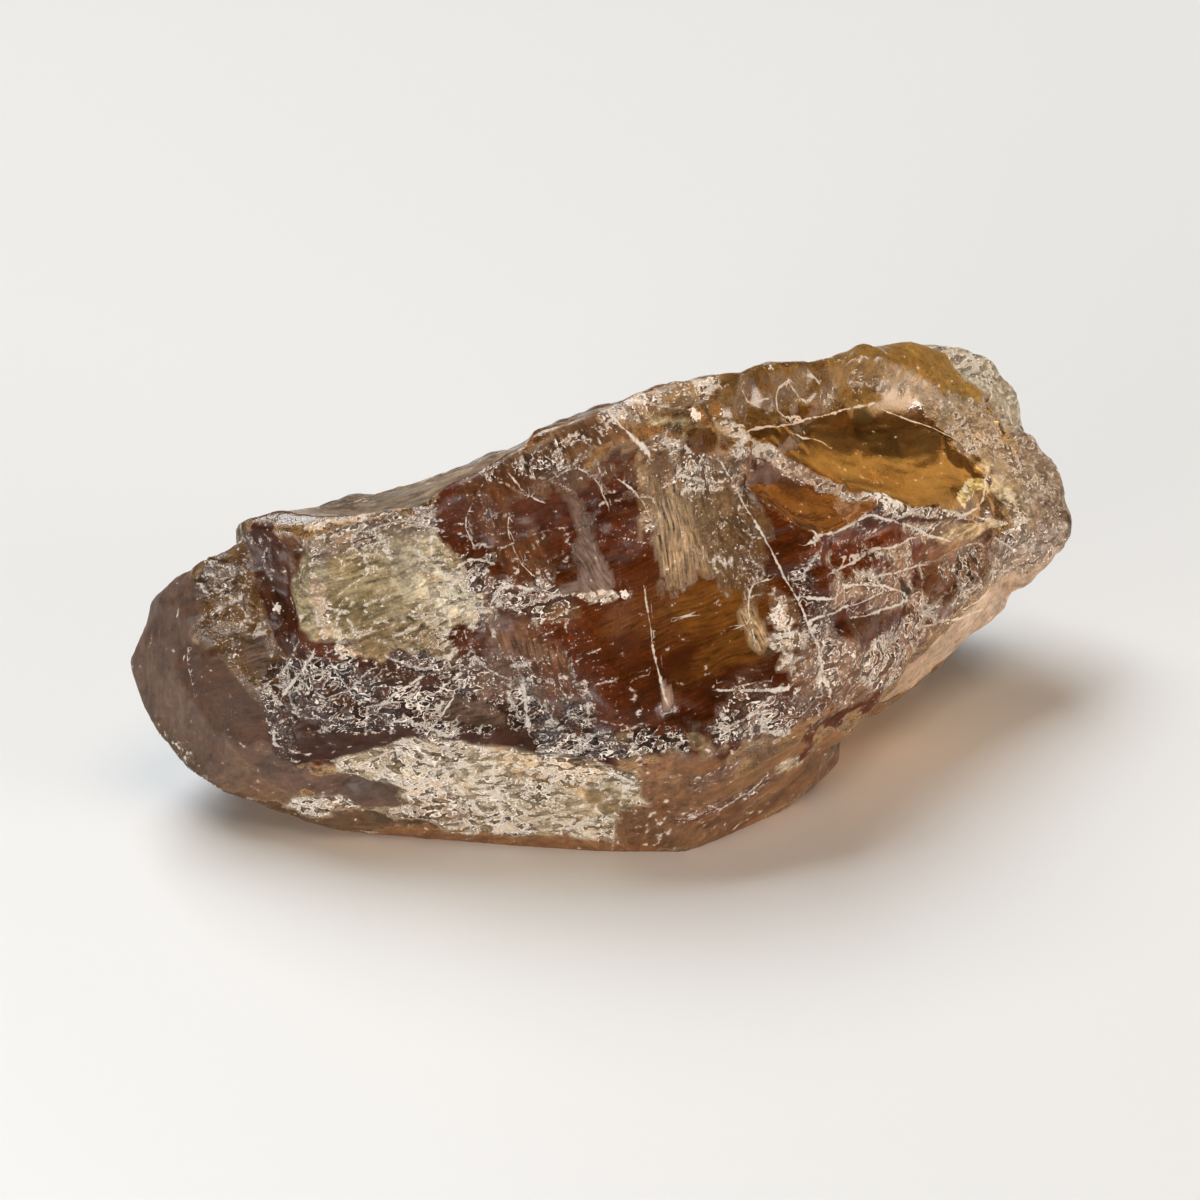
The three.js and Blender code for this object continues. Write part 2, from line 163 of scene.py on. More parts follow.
@dataclass(frozen=True)
class Scoop:
    """A shell-shaped break: the cap of an ellipsoid pressed into the skin.

    Attributes:
        name: what the break is.
        at: middle of its mouth.
        facing: direction that it opens to.
        mouth: half its length and half its width.
        depth: how deep the cap goes.
        along: direction of its length.
        finish: the skin inside it, or None to leave the skin as it is.
    """

    name: str
    at: Point
    facing: Point
    mouth: tuple[float, float]
    depth: float
    along: Point
    finish: Finish | None = None

    def frame(self) -> tuple[Array, Array]:
        """Works out the ellipsoid.

        The mouth is the ellipsoid's section at a height above its lowest point equal to the depth.

        Returns:
            The centre, and the matrix that turns the ellipsoid into a unit ball.
        """
        up = unit(np.array(self.facing))
        length = np.array(self.along)
        length = unit(length - up * (length @ up))
        width = np.cross(up, length)
        height = max(min(self.mouth) * MOUTH_HEIGHT, self.depth * DEPTH_HEIGHT)
        spread = np.sqrt(1 - ((height - self.depth) / height) ** 2)
        rows = [length * spread / self.mouth[0], width * spread / self.mouth[1], up / height]
        return np.array(self.at) + up * (height - self.depth), np.stack(rows)


HULL_TOLERANCE = 1e-6
SAME_SIDE = 0.02
MOUTH_HEIGHT = 1.3
DEPTH_HEIGHT = 1.5
RAY_CENTRE = np.array([0.3, 0.6, 6.3])
RAY_BOX = np.array([16.6, 7.4, 7.2])
SPINE_SHARE = 0.62
SPINE_SLOPE = np.array([1.0, 0.17, 0.09])
SKIN_STEPS = (215, 98, 88)
EDGE_ROUND = 0.35
SCOOP_ROUND = 0.22
LOBE_BLEND = 0.6
UNDERCUT = 0.9
FOOT_RISE = 0.9

LOBES = (
    Lobe("body", (
        (-12.5, 0.4, 10.2), (-11.9, -0.4, 10.3), (-10.7, -2.2, 9.6), (-11.1, -3.1, 6.2),
        (-11.4, -3.3, 3.6), (-12.0, 3.2, 8.2), (-9.7, -1.9, 10.9), (-6.9, -3.2, 11.7),
        (-5.4, -3.0, 12.6), (-10.2, 3.4, 8.7), (-5.7, 3.5, 8.7), (-2.7, -3.0, 13.8),
        (-0.7, -2.8, 14.3), (1.8, -2.5, 14.6), (4.3, -1.8, 14.4), (6.3, -0.6, 13.8),
        (8.1, 1.0, 13.1), (9.9, 3.1, 12.5), (11.8, 4.3, 11.9), (13.3, 4.7, 11.2),
        (-8.3, -5.1, 4.5), (-3.8, -6.8, 3.9), (0.5, -8.1, 4.4), (4.0, -7.5, 4.5),
        (2.6, -4.8, 11.5), (3.7, -7.2, 8.8), (5.2, -7.0, 4.8), (5.2, -3.6, 11.5),
        (7.2, -2.8, 10.0), (9.5, -1.4, 8.4), (11.8, -0.8, 7.5), (13.6, -0.5, 6.6),
        (15.1, 3.7, 8.8), (14.0, 0.0, 3.4), (11.7, -0.8, 2.9), (9.4, -1.8, 2.1),
        (7.3, -3.5, 0.8), (15.6, 1.2, 5.2), (6.8, -5.0, 3.4), (11.5, -1.5, 4.9),
        (-7.2, 5.7, 5.0), (1.1, 5.6, 5.0), (7.7, 6.8, 6.0), (12.2, 7.4, 6.2),
        (-8.9, 3.6, 1.3), (0.8, 4.4, 1.0), (8.4, 5.6, 1.2), (0.4, 2.8, 10.1),
        (6.2, 4.8, 10.7), (13.2, 6.0, 2.2), (14.0, 4.0, 3.0), (-7.5, -4.2, -0.2),
        (-2.4, -6.5, -0.2), (0.2, -7.3, -0.2), (4.1, -5.7, -0.2), (-7.6, 2.1, -0.2),
        (1.4, 2.9, -0.2), (7.9, 2.1, -0.2),
    )),
    Lobe("left dome", (
        (-16.3, 1.5, 5.0), (-15.3, 2.0, 6.4), (-14.5, 1.4, 8.1), (-13.7, 0.5, 9.1),
        (-11.8, 0.4, 9.6), (-10.5, 1.0, 9.4), (-16.1, 0.6, 3.7), (-15.6, -0.1, 2.7),
        (-14.5, -0.9, 1.6), (-11.8, -2.6, 0.6), (-14.6, -0.6, 6.0), (-11.9, -3.4, 3.4),
        (-11.9, -2.8, 5.2), (-13.0, -1.9, 6.9), (-12.0, -1.7, 8.0), (-14.6, 2.8, 2.7),
        (-13.2, 3.2, 1.7), (-12.6, 3.4, 7.0), (-8.0, 4.0, 6.0), (-8.0, -4.0, 5.0),
        (-7.3, -4.1, -0.2), (-8.0, 2.0, -0.2), (-10.6, 2.4, 0.7), (-10.2, -3.3, 0.15),
    )),
    Lobe("rear lump", (
        (14.3, 6.2, 10.8), (15.5, 5.7, 10.2), (16.4, 5.4, 9.0), (15.9, 4.3, 8.0),
        (14.8, 4.2, 9.6), (11.5, 6.6, 10.6), (11.0, 4.0, 10.8), (10.0, 2.0, 6.0),
        (15.6, 6.4, 6.6), (14.0, 7.2, 6.0), (15.5, 3.4, 5.5), (16.5, 4.6, 6.6),
    )),
    Lobe("right rim", (
        (16.9, 1.2, 5.7), (16.6, 1.1, 4.8), (17.3, 2.8, 6.9), (17.0, 3.8, 7.5),
        (16.3, 4.6, 8.5), (14.6, 2.2, 8.4), (13.6, -0.4, 6.7), (14.4, 0.2, 3.7),
        (15.2, 2.8, 3.6), (16.0, 5.2, 5.4), (12.0, 1.0, 4.0), (12.0, 4.0, 6.0),
        (12.5, -0.5, 3.0),
    )),
)

SCOOPS = (
    Scoop("top flat dip", (-6.4, 0.0, 12.0), (-0.22, 0.40, 0.89), (5.3, 4.1), 1.6,
          (1, -0.15, 0.25), Finish.SILK),
    Scoop("right hollow", (9.0, -4.1, 6.9), (0.64, -0.73, 0.24), (5.6, 3.5), 1.0,
          (0.8, 0.6, -0.2), Finish.RUST),
    Scoop("step hollow", (7.6, -3.9, 8.9), (0.55, -0.70, 0.45), (3.4, 1.5), 0.75,
          (0.85, 0.5, -0.30), Finish.RUST),
    Scoop("bowl", (-8.8, -3.6, 8.9), (-0.28, -0.90, 0.34), (2.7, 2.5), 0.75, (1, 0.1, 0.1),
          Finish.CLOUD),
    Scoop("bowl low", (-8.9, -4.2, 7.3), (-0.25, -0.93, 0.28), (1.9, 1.5), 0.5, (1, 0.1, -0.5),
          Finish.CLOUD),
    Scoop("amber window", (9.1, -0.35, 10.45), (0.50, -0.45, 0.73), (6.0, 2.5), 0.8,
          (0.84, 0.39, -0.38), Finish.HONEY),
    Scoop("second window", (5.9, -3.2, 10.8), (0.45, -0.70, 0.56), (2.9, 1.8), 0.85,
          (1, 0.35, -0.6), Finish.COGNAC),
    Scoop("dark recess", (-3.6, -4.5, 10.9), (-0.12, -0.83, 0.54), (2.5, 2.1), 0.8, (1, 0, 0.3),
          Finish.SMOKY),
    Scoop("recess left", (-5.3, -4.1, 10.6), (-0.35, -0.83, 0.42), (1.7, 1.6), 0.55, (1, 0, 0.5),
          Finish.SMOKY),
    Scoop("recess right", (-1.0, -4.4, 11.9), (0.0, -0.80, 0.60), (1.9, 1.4), 0.5, (1, 0, 0.3),
          Finish.SMOKY),
    Scoop("front face", (0.0, -6.0, 8.0), (0.03, -0.88, 0.46), (4.2, 3.3), 0.42, (1, -0.1, 0.3),
          Finish.SMOKY),
    Scoop("tan face", (1.4, -5.0, 10.7), (0.02, -0.83, 0.56), (1.7, 2.2), 0.45, (1, 0, 0.2),
          Finish.TAN),
    Scoop("crust dip", (-6.2, -5.2, 6.1), (-0.28, -0.93, 0.22), (3.0, 1.2), 0.45,
          (1, -0.2, -0.1)),
    Scoop("band notch", (-11.8, -1.6, 8.4), (-0.72, -0.62, 0.30), (1.0, 2.6), 0.55,
          (0.6, -0.7, 0.0), Finish.RUST),
    Scoop("dome olive", (-13.3, -0.8, 7.7), (-0.66, -0.60, 0.45), (1.9, 1.5), 0.30,
          (0.6, -0.6, -0.3), Finish.OLIVE),
    Scoop("under dent", (9.6, -2.5, 2.2), (0.42, -0.70, -0.55), (2.4, 1.6), 0.32,
          (1, 0.62, 0.45)),
    Scoop("rim dent", (15.6, 1.9, 7.9), (0.70, -0.30, 0.65), (1.5, 1.1), 0.35, (0.3, 1, 0)),
    Scoop("back shell", (-1.6, 5.2, 7.3), (-0.05, 0.95, 0.35), (4.6, 2.8), 1.0, (1, 0, 0.1),
          Finish.COGNAC),
    Scoop("back right", (8.6, 6.6, 8.8), (0.2, 0.9, 0.4), (3.6, 2.2), 0.9, (1, 0, -0.2),
          Finish.COGNAC),
    Scoop("back left", (-9.0, 4.6, 5.8), (-0.3, 0.95, 0.15), (2.4, 2.6), 0.6, (1, 0.2, 0),
          Finish.BACK),
    Scoop("back low", (3.6, 5.2, 2.6), (0.0, 0.9, -0.4), (4.0, 1.6), 0.7, (1, 0, 0),
          Finish.BACK),
    Scoop("back step", (3.6, 4.9, 9.3), (0.05, 0.75, 0.66), (2.4, 1.6), 0.6, (1, 0, -0.3),
          Finish.COGNAC),
)


@dataclass(frozen=True)
class Chipping:
    """One size of small bowls worn into the skin.

    Attributes:
        size: spacing of the bowls.
        stretch: how much longer they are along each axis.
        depth: how deep the skin is worn.
        seed: picks the layout.
        offset: shift of the layout.
        fine: whether it lies only where a finish has rubble.
    """

    size: float
    stretch: Point
    depth: float
    seed: float
    offset: float = 0.0
    fine: bool = False

    def bowls(self, at: Array) -> tuple[Array, Array]:
        """Height of the lowest bowl at each point.

        Each lattice cell has one bowl, a paraboloid with a random place, tilt and level.

        Args:
            at: points, one per row.

        Returns:
            The height in cells, and the distance in height to the next lowest bowl. The sign of
            the distance is drawn for each bowl, so that it changes across about half the borders.
        """
        place = (at + self.offset) / (self.size * np.array(self.stretch))
        corner = np.floor(place)
        lowest = np.full(len(at), np.inf)
        following = np.full(len(at), np.inf)
        side = np.ones(len(at))
        for step in itertools.product((-1, 0, 1), repeat=3):
            cell = corner + step
            draw = [cell_value(cell, self.seed + k) for k in range(1, 8)]
            away = place - cell - np.stack(draw[:3], 1)
            lean = (np.stack(draw[3:6], 1) - 0.5) * away
            height = (away * away).sum(1) + BOWL_TILT * lean.sum(1) + BOWL_OFFSET * draw[6]
            following = np.minimum(following, np.maximum(lowest, height))
            side = np.where(height < lowest, np.sign(draw[0] - 0.5), side)
            lowest = np.minimum(lowest, height)
        return lowest, (following - lowest) * side


BOWL_TILT = 1.1
BOWL_OFFSET = 0.35
BOWL_LEVEL = 0.42
CHIPPINGS = (
    Chipping(2.5, (1.35, 1.0, 0.9), 0.55, 1),
    Chipping(1.25, (1.3, 1.0, 0.85), 0.30, 21),
    Chipping(0.6, (1.2, 1.0, 0.9), 0.12, 41, 3.0),
    Chipping(0.42, (1.3, 1.0, 0.9), 0.10, 81, 5.0, True),
)
SWELLS = ((4.5, 0.12, 31), (1.7, 0.05, 32))
WARP_SIZE = 3.1
WARP_DEPTH = 0.55
WARP_SEEDS = (11, 12, 13)


@dataclass(frozen=True)
class Calm:
    """A place where the break is smooth, so that little of the chipping is left.

    Attributes:
        name: what the place is.
        at: its middle.
        reach: its half sizes.
        keep: share of the chipping that is left.
    """

    name: str
    at: Point
    reach: Point
    keep: float


CALMS = (
    Calm("dome tip", (-15.6, 0.2, 5.0), (1.7, 2.0, 2.6), 0.12),
    Calm("dome triangle", (-13.6, -1.9, 4.4), (1.9, 1.6, 2.2), 0.10),
    Calm("dome foot", (-12.8, -1.9, 2.0), (2.6, 1.6, 1.5), 0.35),
    Calm("top flat", (-7.6, 0.4, 10.9), (5.2, 3.6, 1.7), 0.12),
    Calm("bowl", (-8.6, -3.6, 8.4), (2.3, 1.6, 2.0), 0.45),
    Calm("front face", (0.2, -6.0, 7.6), (3.4, 2.0, 2.9), 0.06),
    Calm("front face left", (-3.4, -5.7, 7.2), (1.6, 1.6, 1.6), 0.35),
    Calm("tan face", (1.2, -4.8, 10.6), (1.7, 1.6, 1.9), 0.30),
    Calm("amber window", (9.4, 0.0, 10.0), (5.2, 2.4, 2.6), 0.05),
    Calm("second window", (5.9, -3.0, 10.8), (2.2, 1.6, 1.5), 0.15),
    Calm("top dome", (11.6, 3.2, 11.3), (3.2, 2.2, 1.7), 0.10),
    Calm("under strip", (11.6, -1.5, 3.6), (4.6, 2.0, 1.2), 0.25),
    Calm("lower right", (2.4, -7.3, 2.6), (3.6, 1.8, 1.5), 0.35),
    Calm("cream patch", (-4.2, -6.0, 2.0), (6.2, 2.0, 2.2), 0.30),
    Calm("back shell", (-1.6, 5.2, 7.0), (4.0, 2.4, 2.6), 0.15),
    Calm("back right", (9.0, 6.6, 8.6), (3.0, 2.0, 2.0), 0.2),
    Calm("back top", (2.6, 2.0, 12.4), (5.0, 2.6, 1.8), 0.35),
    Calm("back low", (2.5, 5.0, 3.0), (6.0, 2.0, 2.0), 0.4),
)
CALM_RAGGED = ((2.3, 0.16, 3), (0.9, 0.07, 5))
CALM_EDGE = (0.80, 1.12)


# ---------------------------------------------------------------- strokes


@dataclass(frozen=True)
class Stroke:
    """A patch of one finish, laid along a path as with a brush.

    Attributes:
        finish: the skin that it lays.
        path: points of the path.
        reach: half width of the brush.
        strength: how fully it covers what is below.
        ragged: how uneven its border is.
        taper: its width at the end of the path, as a share of that at the start.
        tint: a display colour of its own, or None for the finish's.
        grain: direction of its striae, or None to leave what is below.
    """

    finish: Finish
    path: tuple[Point, ...]
    reach: float
    strength: float = 1.0
    ragged: float = 0.3
    tint: Tint | None = None
    grain: Point | None = None
    taper: float = 1.0


# directions of striae that several strokes share
LEDGES = (0.8, 0.5, 0.3)
RISING = (1.0, 0.2, 0.5)
ALONG_FACE = (1.0, 0.1, 0.35)
FIBRES = (1.0, -0.35, 0.1)
DOWN = (0.2, -0.4, -0.9)
# colours that several strokes share
BRUISED = (0.50, 0.37, 0.30)
GREY = (0.47, 0.39, 0.35)
GOLDEN = (0.52, 0.35, 0.16)
UMBER = (0.36, 0.23, 0.14)

GROUNDS = (
    Stroke(Finish.RUST, ((-9.0, -4.4, 7.0), (-3.0, -5.6, 8.0), (3.0, -6.0, 8.0), (7.0, -4.0, 8.0)), 4.6),
    Stroke(Finish.MAUVE, ((-12.0, -3.0, 4.6), (-7.6, -5.0, 5.0), (-5.0, -6.0, 4.8)), 1.6, 1.0, 0.6,
        (0.27, 0.17, 0.13), (1.0, -0.3, 0.2)),
    Stroke(Finish.FROST, ((-12.0, 3.4, 2.4), (-6.0, 5.4, 2.6)), 2.0, 0.8, 0.8),
    Stroke(Finish.CRUST, ((1.0, 5.8, 6.4), (7.0, 6.6, 5.6), (12.0, 7.2, 5.2)), 1.3, 0.8, 0.9),
    Stroke(Finish.OLIVE, ((-2.0, 3.2, 10.2), (4.0, 3.8, 11.0)), 1.6, 0.7, 0.8),
)

STROKES = (
    # back: a rough border behind the top flat and a dull patch across the large shell
    Stroke(Finish.OLIVE, ((-10.0, 2.6, 9.6), (-6.4, 3.6, 10.4), (-2.6, 2.6, 12.0)), 0.8, 0.8, 1.4),
    Stroke(Finish.OLIVE, ((-10.8, 2.2, 9.6), (-8.0, 3.0, 10.2), (-5.0, 2.6, 11.2), (-3.6, 1.4, 12.2)),
        0.55, 0.9, 2.4, (0.50, 0.41, 0.32)),
    Stroke(Finish.OLIVE, ((-5.6, 5.2, 6.6), (-1.6, 5.6, 5.2), (2.4, 5.4, 5.4)), 0.9, 0.7, 1.4),
    # left dome: a grainy olive facet, two smooth dull ones, and the dull foot
    Stroke(Finish.OLIVE, ((-12.9, 0.6, 8.8), (-13.3, -0.7, 7.3), (-12.8, -1.7, 6.0), (-12.5, -2.3, 5.0)),
        1.25, 1.0, 0.35),
    Stroke(Finish.MAUVE, ((-14.8, 1.0, 7.2), (-15.6, 0.2, 4.6), (-14.9, -0.8, 3.0)), 1.5, 1.0, 0.15,
        (0.40, 0.31, 0.26), (0.2, 0.2, 1.0)),
    Stroke(Finish.MAUVE, ((-14.3, -0.9, 5.6), (-13.3, -1.9, 4.3), (-12.7, -2.5, 3.6)), 1.0, 1.0, 0.15,
        (0.33, 0.22, 0.15)),
    Stroke(Finish.MAUVE, ((-14.6, -0.8, 2.2), (-12.4, -2.8, 2.4)), 1.2, 0.9, 0.3, (0.42, 0.32, 0.26)),
    Stroke(Finish.OLIVE, ((-15.6, 0.1, 3.2), (-14.5, -0.9, 1.5), (-12.6, -2.2, 0.7)), 0.42, 0.9, 0.8),
    Stroke(Finish.CRUST, ((-12.2, -2.0, 5.8), (-12.0, -2.8, 4.4), (-11.9, -3.1, 3.2)), 0.45, 0.9, 0.9),
    Stroke(Finish.LILAC, ((-12.4, -1.4, 6.6), (-12.5, -1.8, 5.9)), 0.32, 0.9, 0.5),
    Stroke(Finish.RUST, ((-12.0, -0.3, 9.8), (-11.7, -0.9, 8.3), (-11.3, -2.1, 6.8), (-11.3, -2.8, 5.4)),
        0.62, 1.0, 0.4, (0.28, 0.15, 0.09), (0.25, -0.5, -0.85)),
    # the bowl: dull olive at its left, pale cream at its right, chalky edges and a dark pit
    Stroke(Finish.CLOUD, ((-10.0, -2.7, 8.7), (-7.2, -3.6, 8.9)), 1.75, 1.0, 0.2, (0.60, 0.53, 0.40),
        (1.0, 0.0, 0.25)),
    Stroke(Finish.CLOUD, ((-8.0, -3.0, 10.2), (-6.9, -3.5, 10.3)), 0.8, 1.0, 0.4, (0.66, 0.59, 0.47)),
    Stroke(Finish.CLOUD, ((-9.2, -3.8, 7.1), (-7.4, -4.2, 7.0)), 0.95, 1.0, 0.3, (0.56, 0.48, 0.36)),
    Stroke(Finish.CLOUD, ((-7.8, -3.4, 9.4), (-6.5, -4.0, 8.9)), 0.80, 0.9, 0.6, (0.76, 0.70, 0.58)),
    Stroke(Finish.OLIVE, ((-9.8, -2.9, 8.2), (-9.0, -3.2, 8.6)), 0.50, 0.6, 0.9, (0.50, 0.43, 0.28)),
    Stroke(Finish.CHALK, ((-10.7, -2.0, 9.7), (-10.6, -2.6, 8.5), (-10.2, -3.3, 7.0)), 0.18, 0.8, 1.2,
        taper=1.8),
    Stroke(Finish.CHALK, ((-10.2, -3.3, 7.1), (-9.6, -3.8, 6.5)), 0.36, 0.9, 0.9),
    Stroke(Finish.CHALK, ((-5.9, -4.1, 9.9), (-5.7, -4.4, 8.7), (-6.1, -4.6, 7.9)), 0.16, 0.8, 1.2),
    Stroke(Finish.RUST, ((-6.4, -4.5, 7.6), (-5.9, -4.7, 7.1)), 0.42, 1.0, 0.5, (0.32, 0.17, 0.09)),
    # rough border above the bowl, and the edge of the top flat
    Stroke(Finish.FROST, ((-10.4, -2.0, 10.1), (-8.8, -2.5, 10.6), (-6.8, -3.1, 11.3)), 0.45, 0.85, 0.7,
        (0.53, 0.45, 0.37), (1.0, -0.15, 0.3)),
    Stroke(Finish.CHALK, ((-11.4, -0.9, 10.4), (-9.5, -1.9, 10.9), (-7.2, -2.6, 11.6)), 0.14, 0.7, 1.4),
    # dark recess, with a bunch of fine striae and a flat grey patch
    Stroke(Finish.RUST, ((-5.6, -3.6, 11.2), (-3.6, -3.9, 11.4), (-1.0, -4.3, 11.6)), 1.5, 1.0, 0.4,
        (0.32, 0.16, 0.08)),
    Stroke(Finish.RUST, ((-5.5, -3.5, 11.3), (-4.8, -3.9, 10.6), (-4.2, -4.5, 9.9)), 0.6, 0.9, 1.6,
        (0.37, 0.23, 0.14), (0.15, -0.3, -0.9)),
    Stroke(Finish.OLIVE, ((-4.9, -3.5, 12.0), (-3.4, -3.6, 12.2), (-1.6, -3.7, 12.6), (-0.4, -3.9, 12.3)),
        0.22, 0.9, 3.4, (0.42, 0.30, 0.20), (0.1, -0.3, -0.9)),
    Stroke(Finish.TAN, ((-1.6, -3.9, 11.9), (-0.6, -4.2, 11.6)), 0.12, 0.8, 4.0, (0.45, 0.32, 0.21),
        (0.05, -0.3, -0.9)),
    Stroke(Finish.LILAC, ((-2.9, -3.6, 11.9), (-2.6, -3.8, 11.5), (-2.2, -4.1, 10.8)), 0.17, 0.8, 3.0,
        (0.43, 0.34, 0.29), (0.35, -0.3, -0.9)),
    Stroke(Finish.LILAC, ((-2.3, -4.2, 10.6), (-2.2, -5.0, 9.4)), 0.26, 1.0, 0.4, GREY, (0.4, -0.3, -0.8),
        taper=2.1),
    Stroke(Finish.LILAC, ((-2.0, -5.1, 9.3), (-3.2, -5.2, 9.2)), 0.24, 1.0, 0.6, GREY),
    Stroke(Finish.CHALK, ((-2.8, -5.4, 8.9), (-1.4, -5.4, 8.8)), 0.11, 0.9, 2.6),
    Stroke(Finish.CHALK, ((-5.5, -4.0, 9.9), (-4.6, -4.9, 9.2), (-3.8, -5.1, 9.3), (-2.1, -5.5, 8.8)),
        0.15, 0.8, 1.6),
    Stroke(Finish.CHALK, ((-5.7, -4.5, 8.6), (-5.3, -5.1, 8.1), (-4.1, -5.4, 8.2)), 0.20, 0.7, 1.6),
    Stroke(Finish.CRUST, ((-5.8, -4.4, 9.6), (-4.5, -5.0, 9.0), (-3.4, -5.4, 8.8)), 0.55, 0.9, 0.8,
        (0.43, 0.32, 0.27)),
    Stroke(Finish.OLIVE, ((-3.7, -5.5, 8.5), (-3.1, -5.5, 8.5)), 0.36, 0.9, 0.4, (0.45, 0.32, 0.18)),
    # dark crust below
    Stroke(Finish.CRUST, ((-11.2, -3.1, 5.5), (-9.2, -4.0, 5.7), (-7.4, -4.7, 5.7), (-5.4, -5.6, 5.7),
        (-3.8, -6.2, 5.3)), 1.25, 1.0, 0.45),
    Stroke(Finish.RUST, ((-4.8, -5.3, 7.3), (-3.8, -5.8, 6.6)), 0.9, 0.9, 1.2, (0.39, 0.25, 0.17), DOWN),
    Stroke(Finish.TAN, ((-5.2, -5.2, 7.6), (-3.4, -5.9, 7.1)), 0.12, 0.7, 4.0, (0.48, 0.35, 0.26), DOWN),
    Stroke(Finish.LILAC, ((-7.0, -4.9, 5.4), (-5.4, -5.6, 5.0)), 0.36, 0.7, 1.2),
    Stroke(Finish.CRUST, ((-6.4, -4.7, 6.4), (-4.8, -5.6, 6.0)), 0.7, 0.7, 0.9, (0.46, 0.37, 0.32)),
    # front face: golden at its right, a fan of tan striae above
    Stroke(Finish.SMOKY, ((0.9, -5.7, 7.8), (2.4, -6.0, 7.3)), 1.20, 0.26, 1.8, (0.48, 0.31, 0.14),
        ALONG_FACE),
    Stroke(Finish.SMOKY, ((1.2, -5.6, 7.9), (2.4, -5.8, 7.6)), 0.55, 0.30, 2.2, GOLDEN, ALONG_FACE),
    Stroke(Finish.SMOKY, ((1.2, -6.4, 6.6), (2.8, -6.3, 7.0)), 0.35, 0.34, 2.2, GOLDEN, ALONG_FACE),
    Stroke(Finish.TAN, ((2.9, -5.6, 8.5), (2.7, -5.9, 7.8), (3.0, -6.2, 7.0)), 0.14, 0.9, 0.8,
        (0.66, 0.55, 0.41), (0.3, -0.3, -0.9), taper=2.0),
    Stroke(Finish.OLIVE, ((3.6, -5.6, 8.3), (4.0, -6.0, 7.8)), 0.40, 0.9, 0.9, (0.50, 0.38, 0.27)),
    Stroke(Finish.CHALK, ((3.6, -5.9, 7.9), (3.9, -6.1, 7.4)), 0.24, 1.0, 1.2),
    Stroke(Finish.CHALK, ((3.5, -6.4, 6.9), (4.3, -6.4, 6.9)), 0.17, 0.9, 1.6),
    Stroke(Finish.CHALK, ((3.7, -6.8, 6.2), (4.3, -6.7, 6.4)), 0.22, 0.8, 1.6),
    Stroke(Finish.LILAC, ((-0.3, -7.1, 5.5), (-0.4, -6.4, 6.9), (-0.5, -5.5, 8.6)), 0.13, 1.0, 0.2,
        (0.62, 0.50, 0.43), (0.1, -0.6, -0.8), taper=0.15),
    Stroke(Finish.OLIVE, ((1.0, -4.0, 12.2), (1.6, -4.6, 10.8), (2.0, -5.0, 9.7)), 0.85, 0.8, 1.2,
        (0.43, 0.32, 0.20), (0.1, -0.4, -0.9), taper=1.2),
    Stroke(Finish.TAN, ((0.8, -4.2, 11.5), (1.1, -4.8, 10.2), (1.7, -5.1, 9.4)), 1.24, 0.85, 0.7,
        (0.54, 0.44, 0.32), (0.12, -0.4, -0.9), taper=0.55),
    Stroke(Finish.TAN, ((0.3, -4.3, 11.4), (0.5, -4.7, 10.4), (1.1, -5.0, 9.6)), 0.50, 0.6, 1.4,
        (0.64, 0.54, 0.42), (0.05, -0.4, -0.9)),
    Stroke(Finish.OLIVE, ((2.2, -4.2, 11.4), (2.4, -5.0, 9.5)), 0.45, 0.8, 1.9, (0.45, 0.35, 0.24),
        (0.25, -0.4, -0.9)),
    Stroke(Finish.FROST, ((-0.2, -3.7, 12.9), (-0.3, -4.0, 12.0), (-0.3, -4.4, 10.9)), 0.24, 0.8, 1.2),
    Stroke(Finish.CRUST, ((0.4, -3.8, 12.9), (1.8, -4.1, 12.0), (2.4, -4.1, 12.2)), 0.55, 0.8, 1.0,
        (0.45, 0.34, 0.24)),
    # crest: a narrow brown band with pale crumbs, then the smooth domes right of it
    Stroke(Finish.RUST, ((-5.4, -3.1, 12.3), (-3.2, -3.3, 13.0), (-1.2, -3.2, 13.8)), 0.60, 0.9, 0.8,
        UMBER, (0.3, -0.4, -0.8)),
    Stroke(Finish.CRUST, ((-5.0, -3.2, 12.6), (-3.2, -3.3, 13.1), (-1.2, -3.2, 13.9)), 0.20, 0.6, 2.4,
        (0.36, 0.24, 0.16)),
    Stroke(Finish.FROST, ((-1.2, -3.0, 14.0), (0.8, -2.9, 14.4), (2.6, -2.4, 14.4)), 0.36, 0.85, 0.8),
    Stroke(Finish.CLOUD, ((0.2, -3.4, 13.9), (1.2, -3.5, 13.8)), 0.26, 1.0, 0.5, (0.77, 0.69, 0.53)),
    Stroke(Finish.SMOKY, ((1.5, -3.8, 13.3), (1.8, -3.8, 13.2)), 0.40, 1.0, 0.4, (0.37, 0.25, 0.14)),
    Stroke(Finish.DOME, ((3.4, -2.4, 13.7), (6.0, -0.8, 13.1), (8.4, 1.0, 12.3)), 1.0, 0.9, 0.4,
        (0.50, 0.36, 0.18)),
    Stroke(Finish.FROST, ((5.2, -1.4, 12.9), (6.6, -0.4, 12.9)), 0.60, 0.35, 1.6, (0.56, 0.44, 0.30)),
    Stroke(Finish.DOME, ((9.2, 2.0, 12.2), (11.6, 3.6, 11.6), (13.2, 4.2, 10.6)), 1.7, 1.0, 0.2),
    Stroke(Finish.FROST, ((8.8, 2.0, 12.0), (10.3, 2.3, 11.3), (12.0, 2.6, 10.5), (13.2, 2.9, 9.8)), 0.45,
        0.6, 1.2, (0.50, 0.39, 0.23)),
    Stroke(Finish.FROST, ((7.5, 0.7, 11.9), (8.1, 1.3, 12.0)), 0.28, 0.9, 0.9),
    # windows: a pale spot, a bright corner and the chalky lower border
    Stroke(Finish.HONEY, ((9.1, 0.8, 10.4), (9.8, 0.8, 9.8)), 0.75, 0.8, 0.3, (0.62, 0.53, 0.27)),
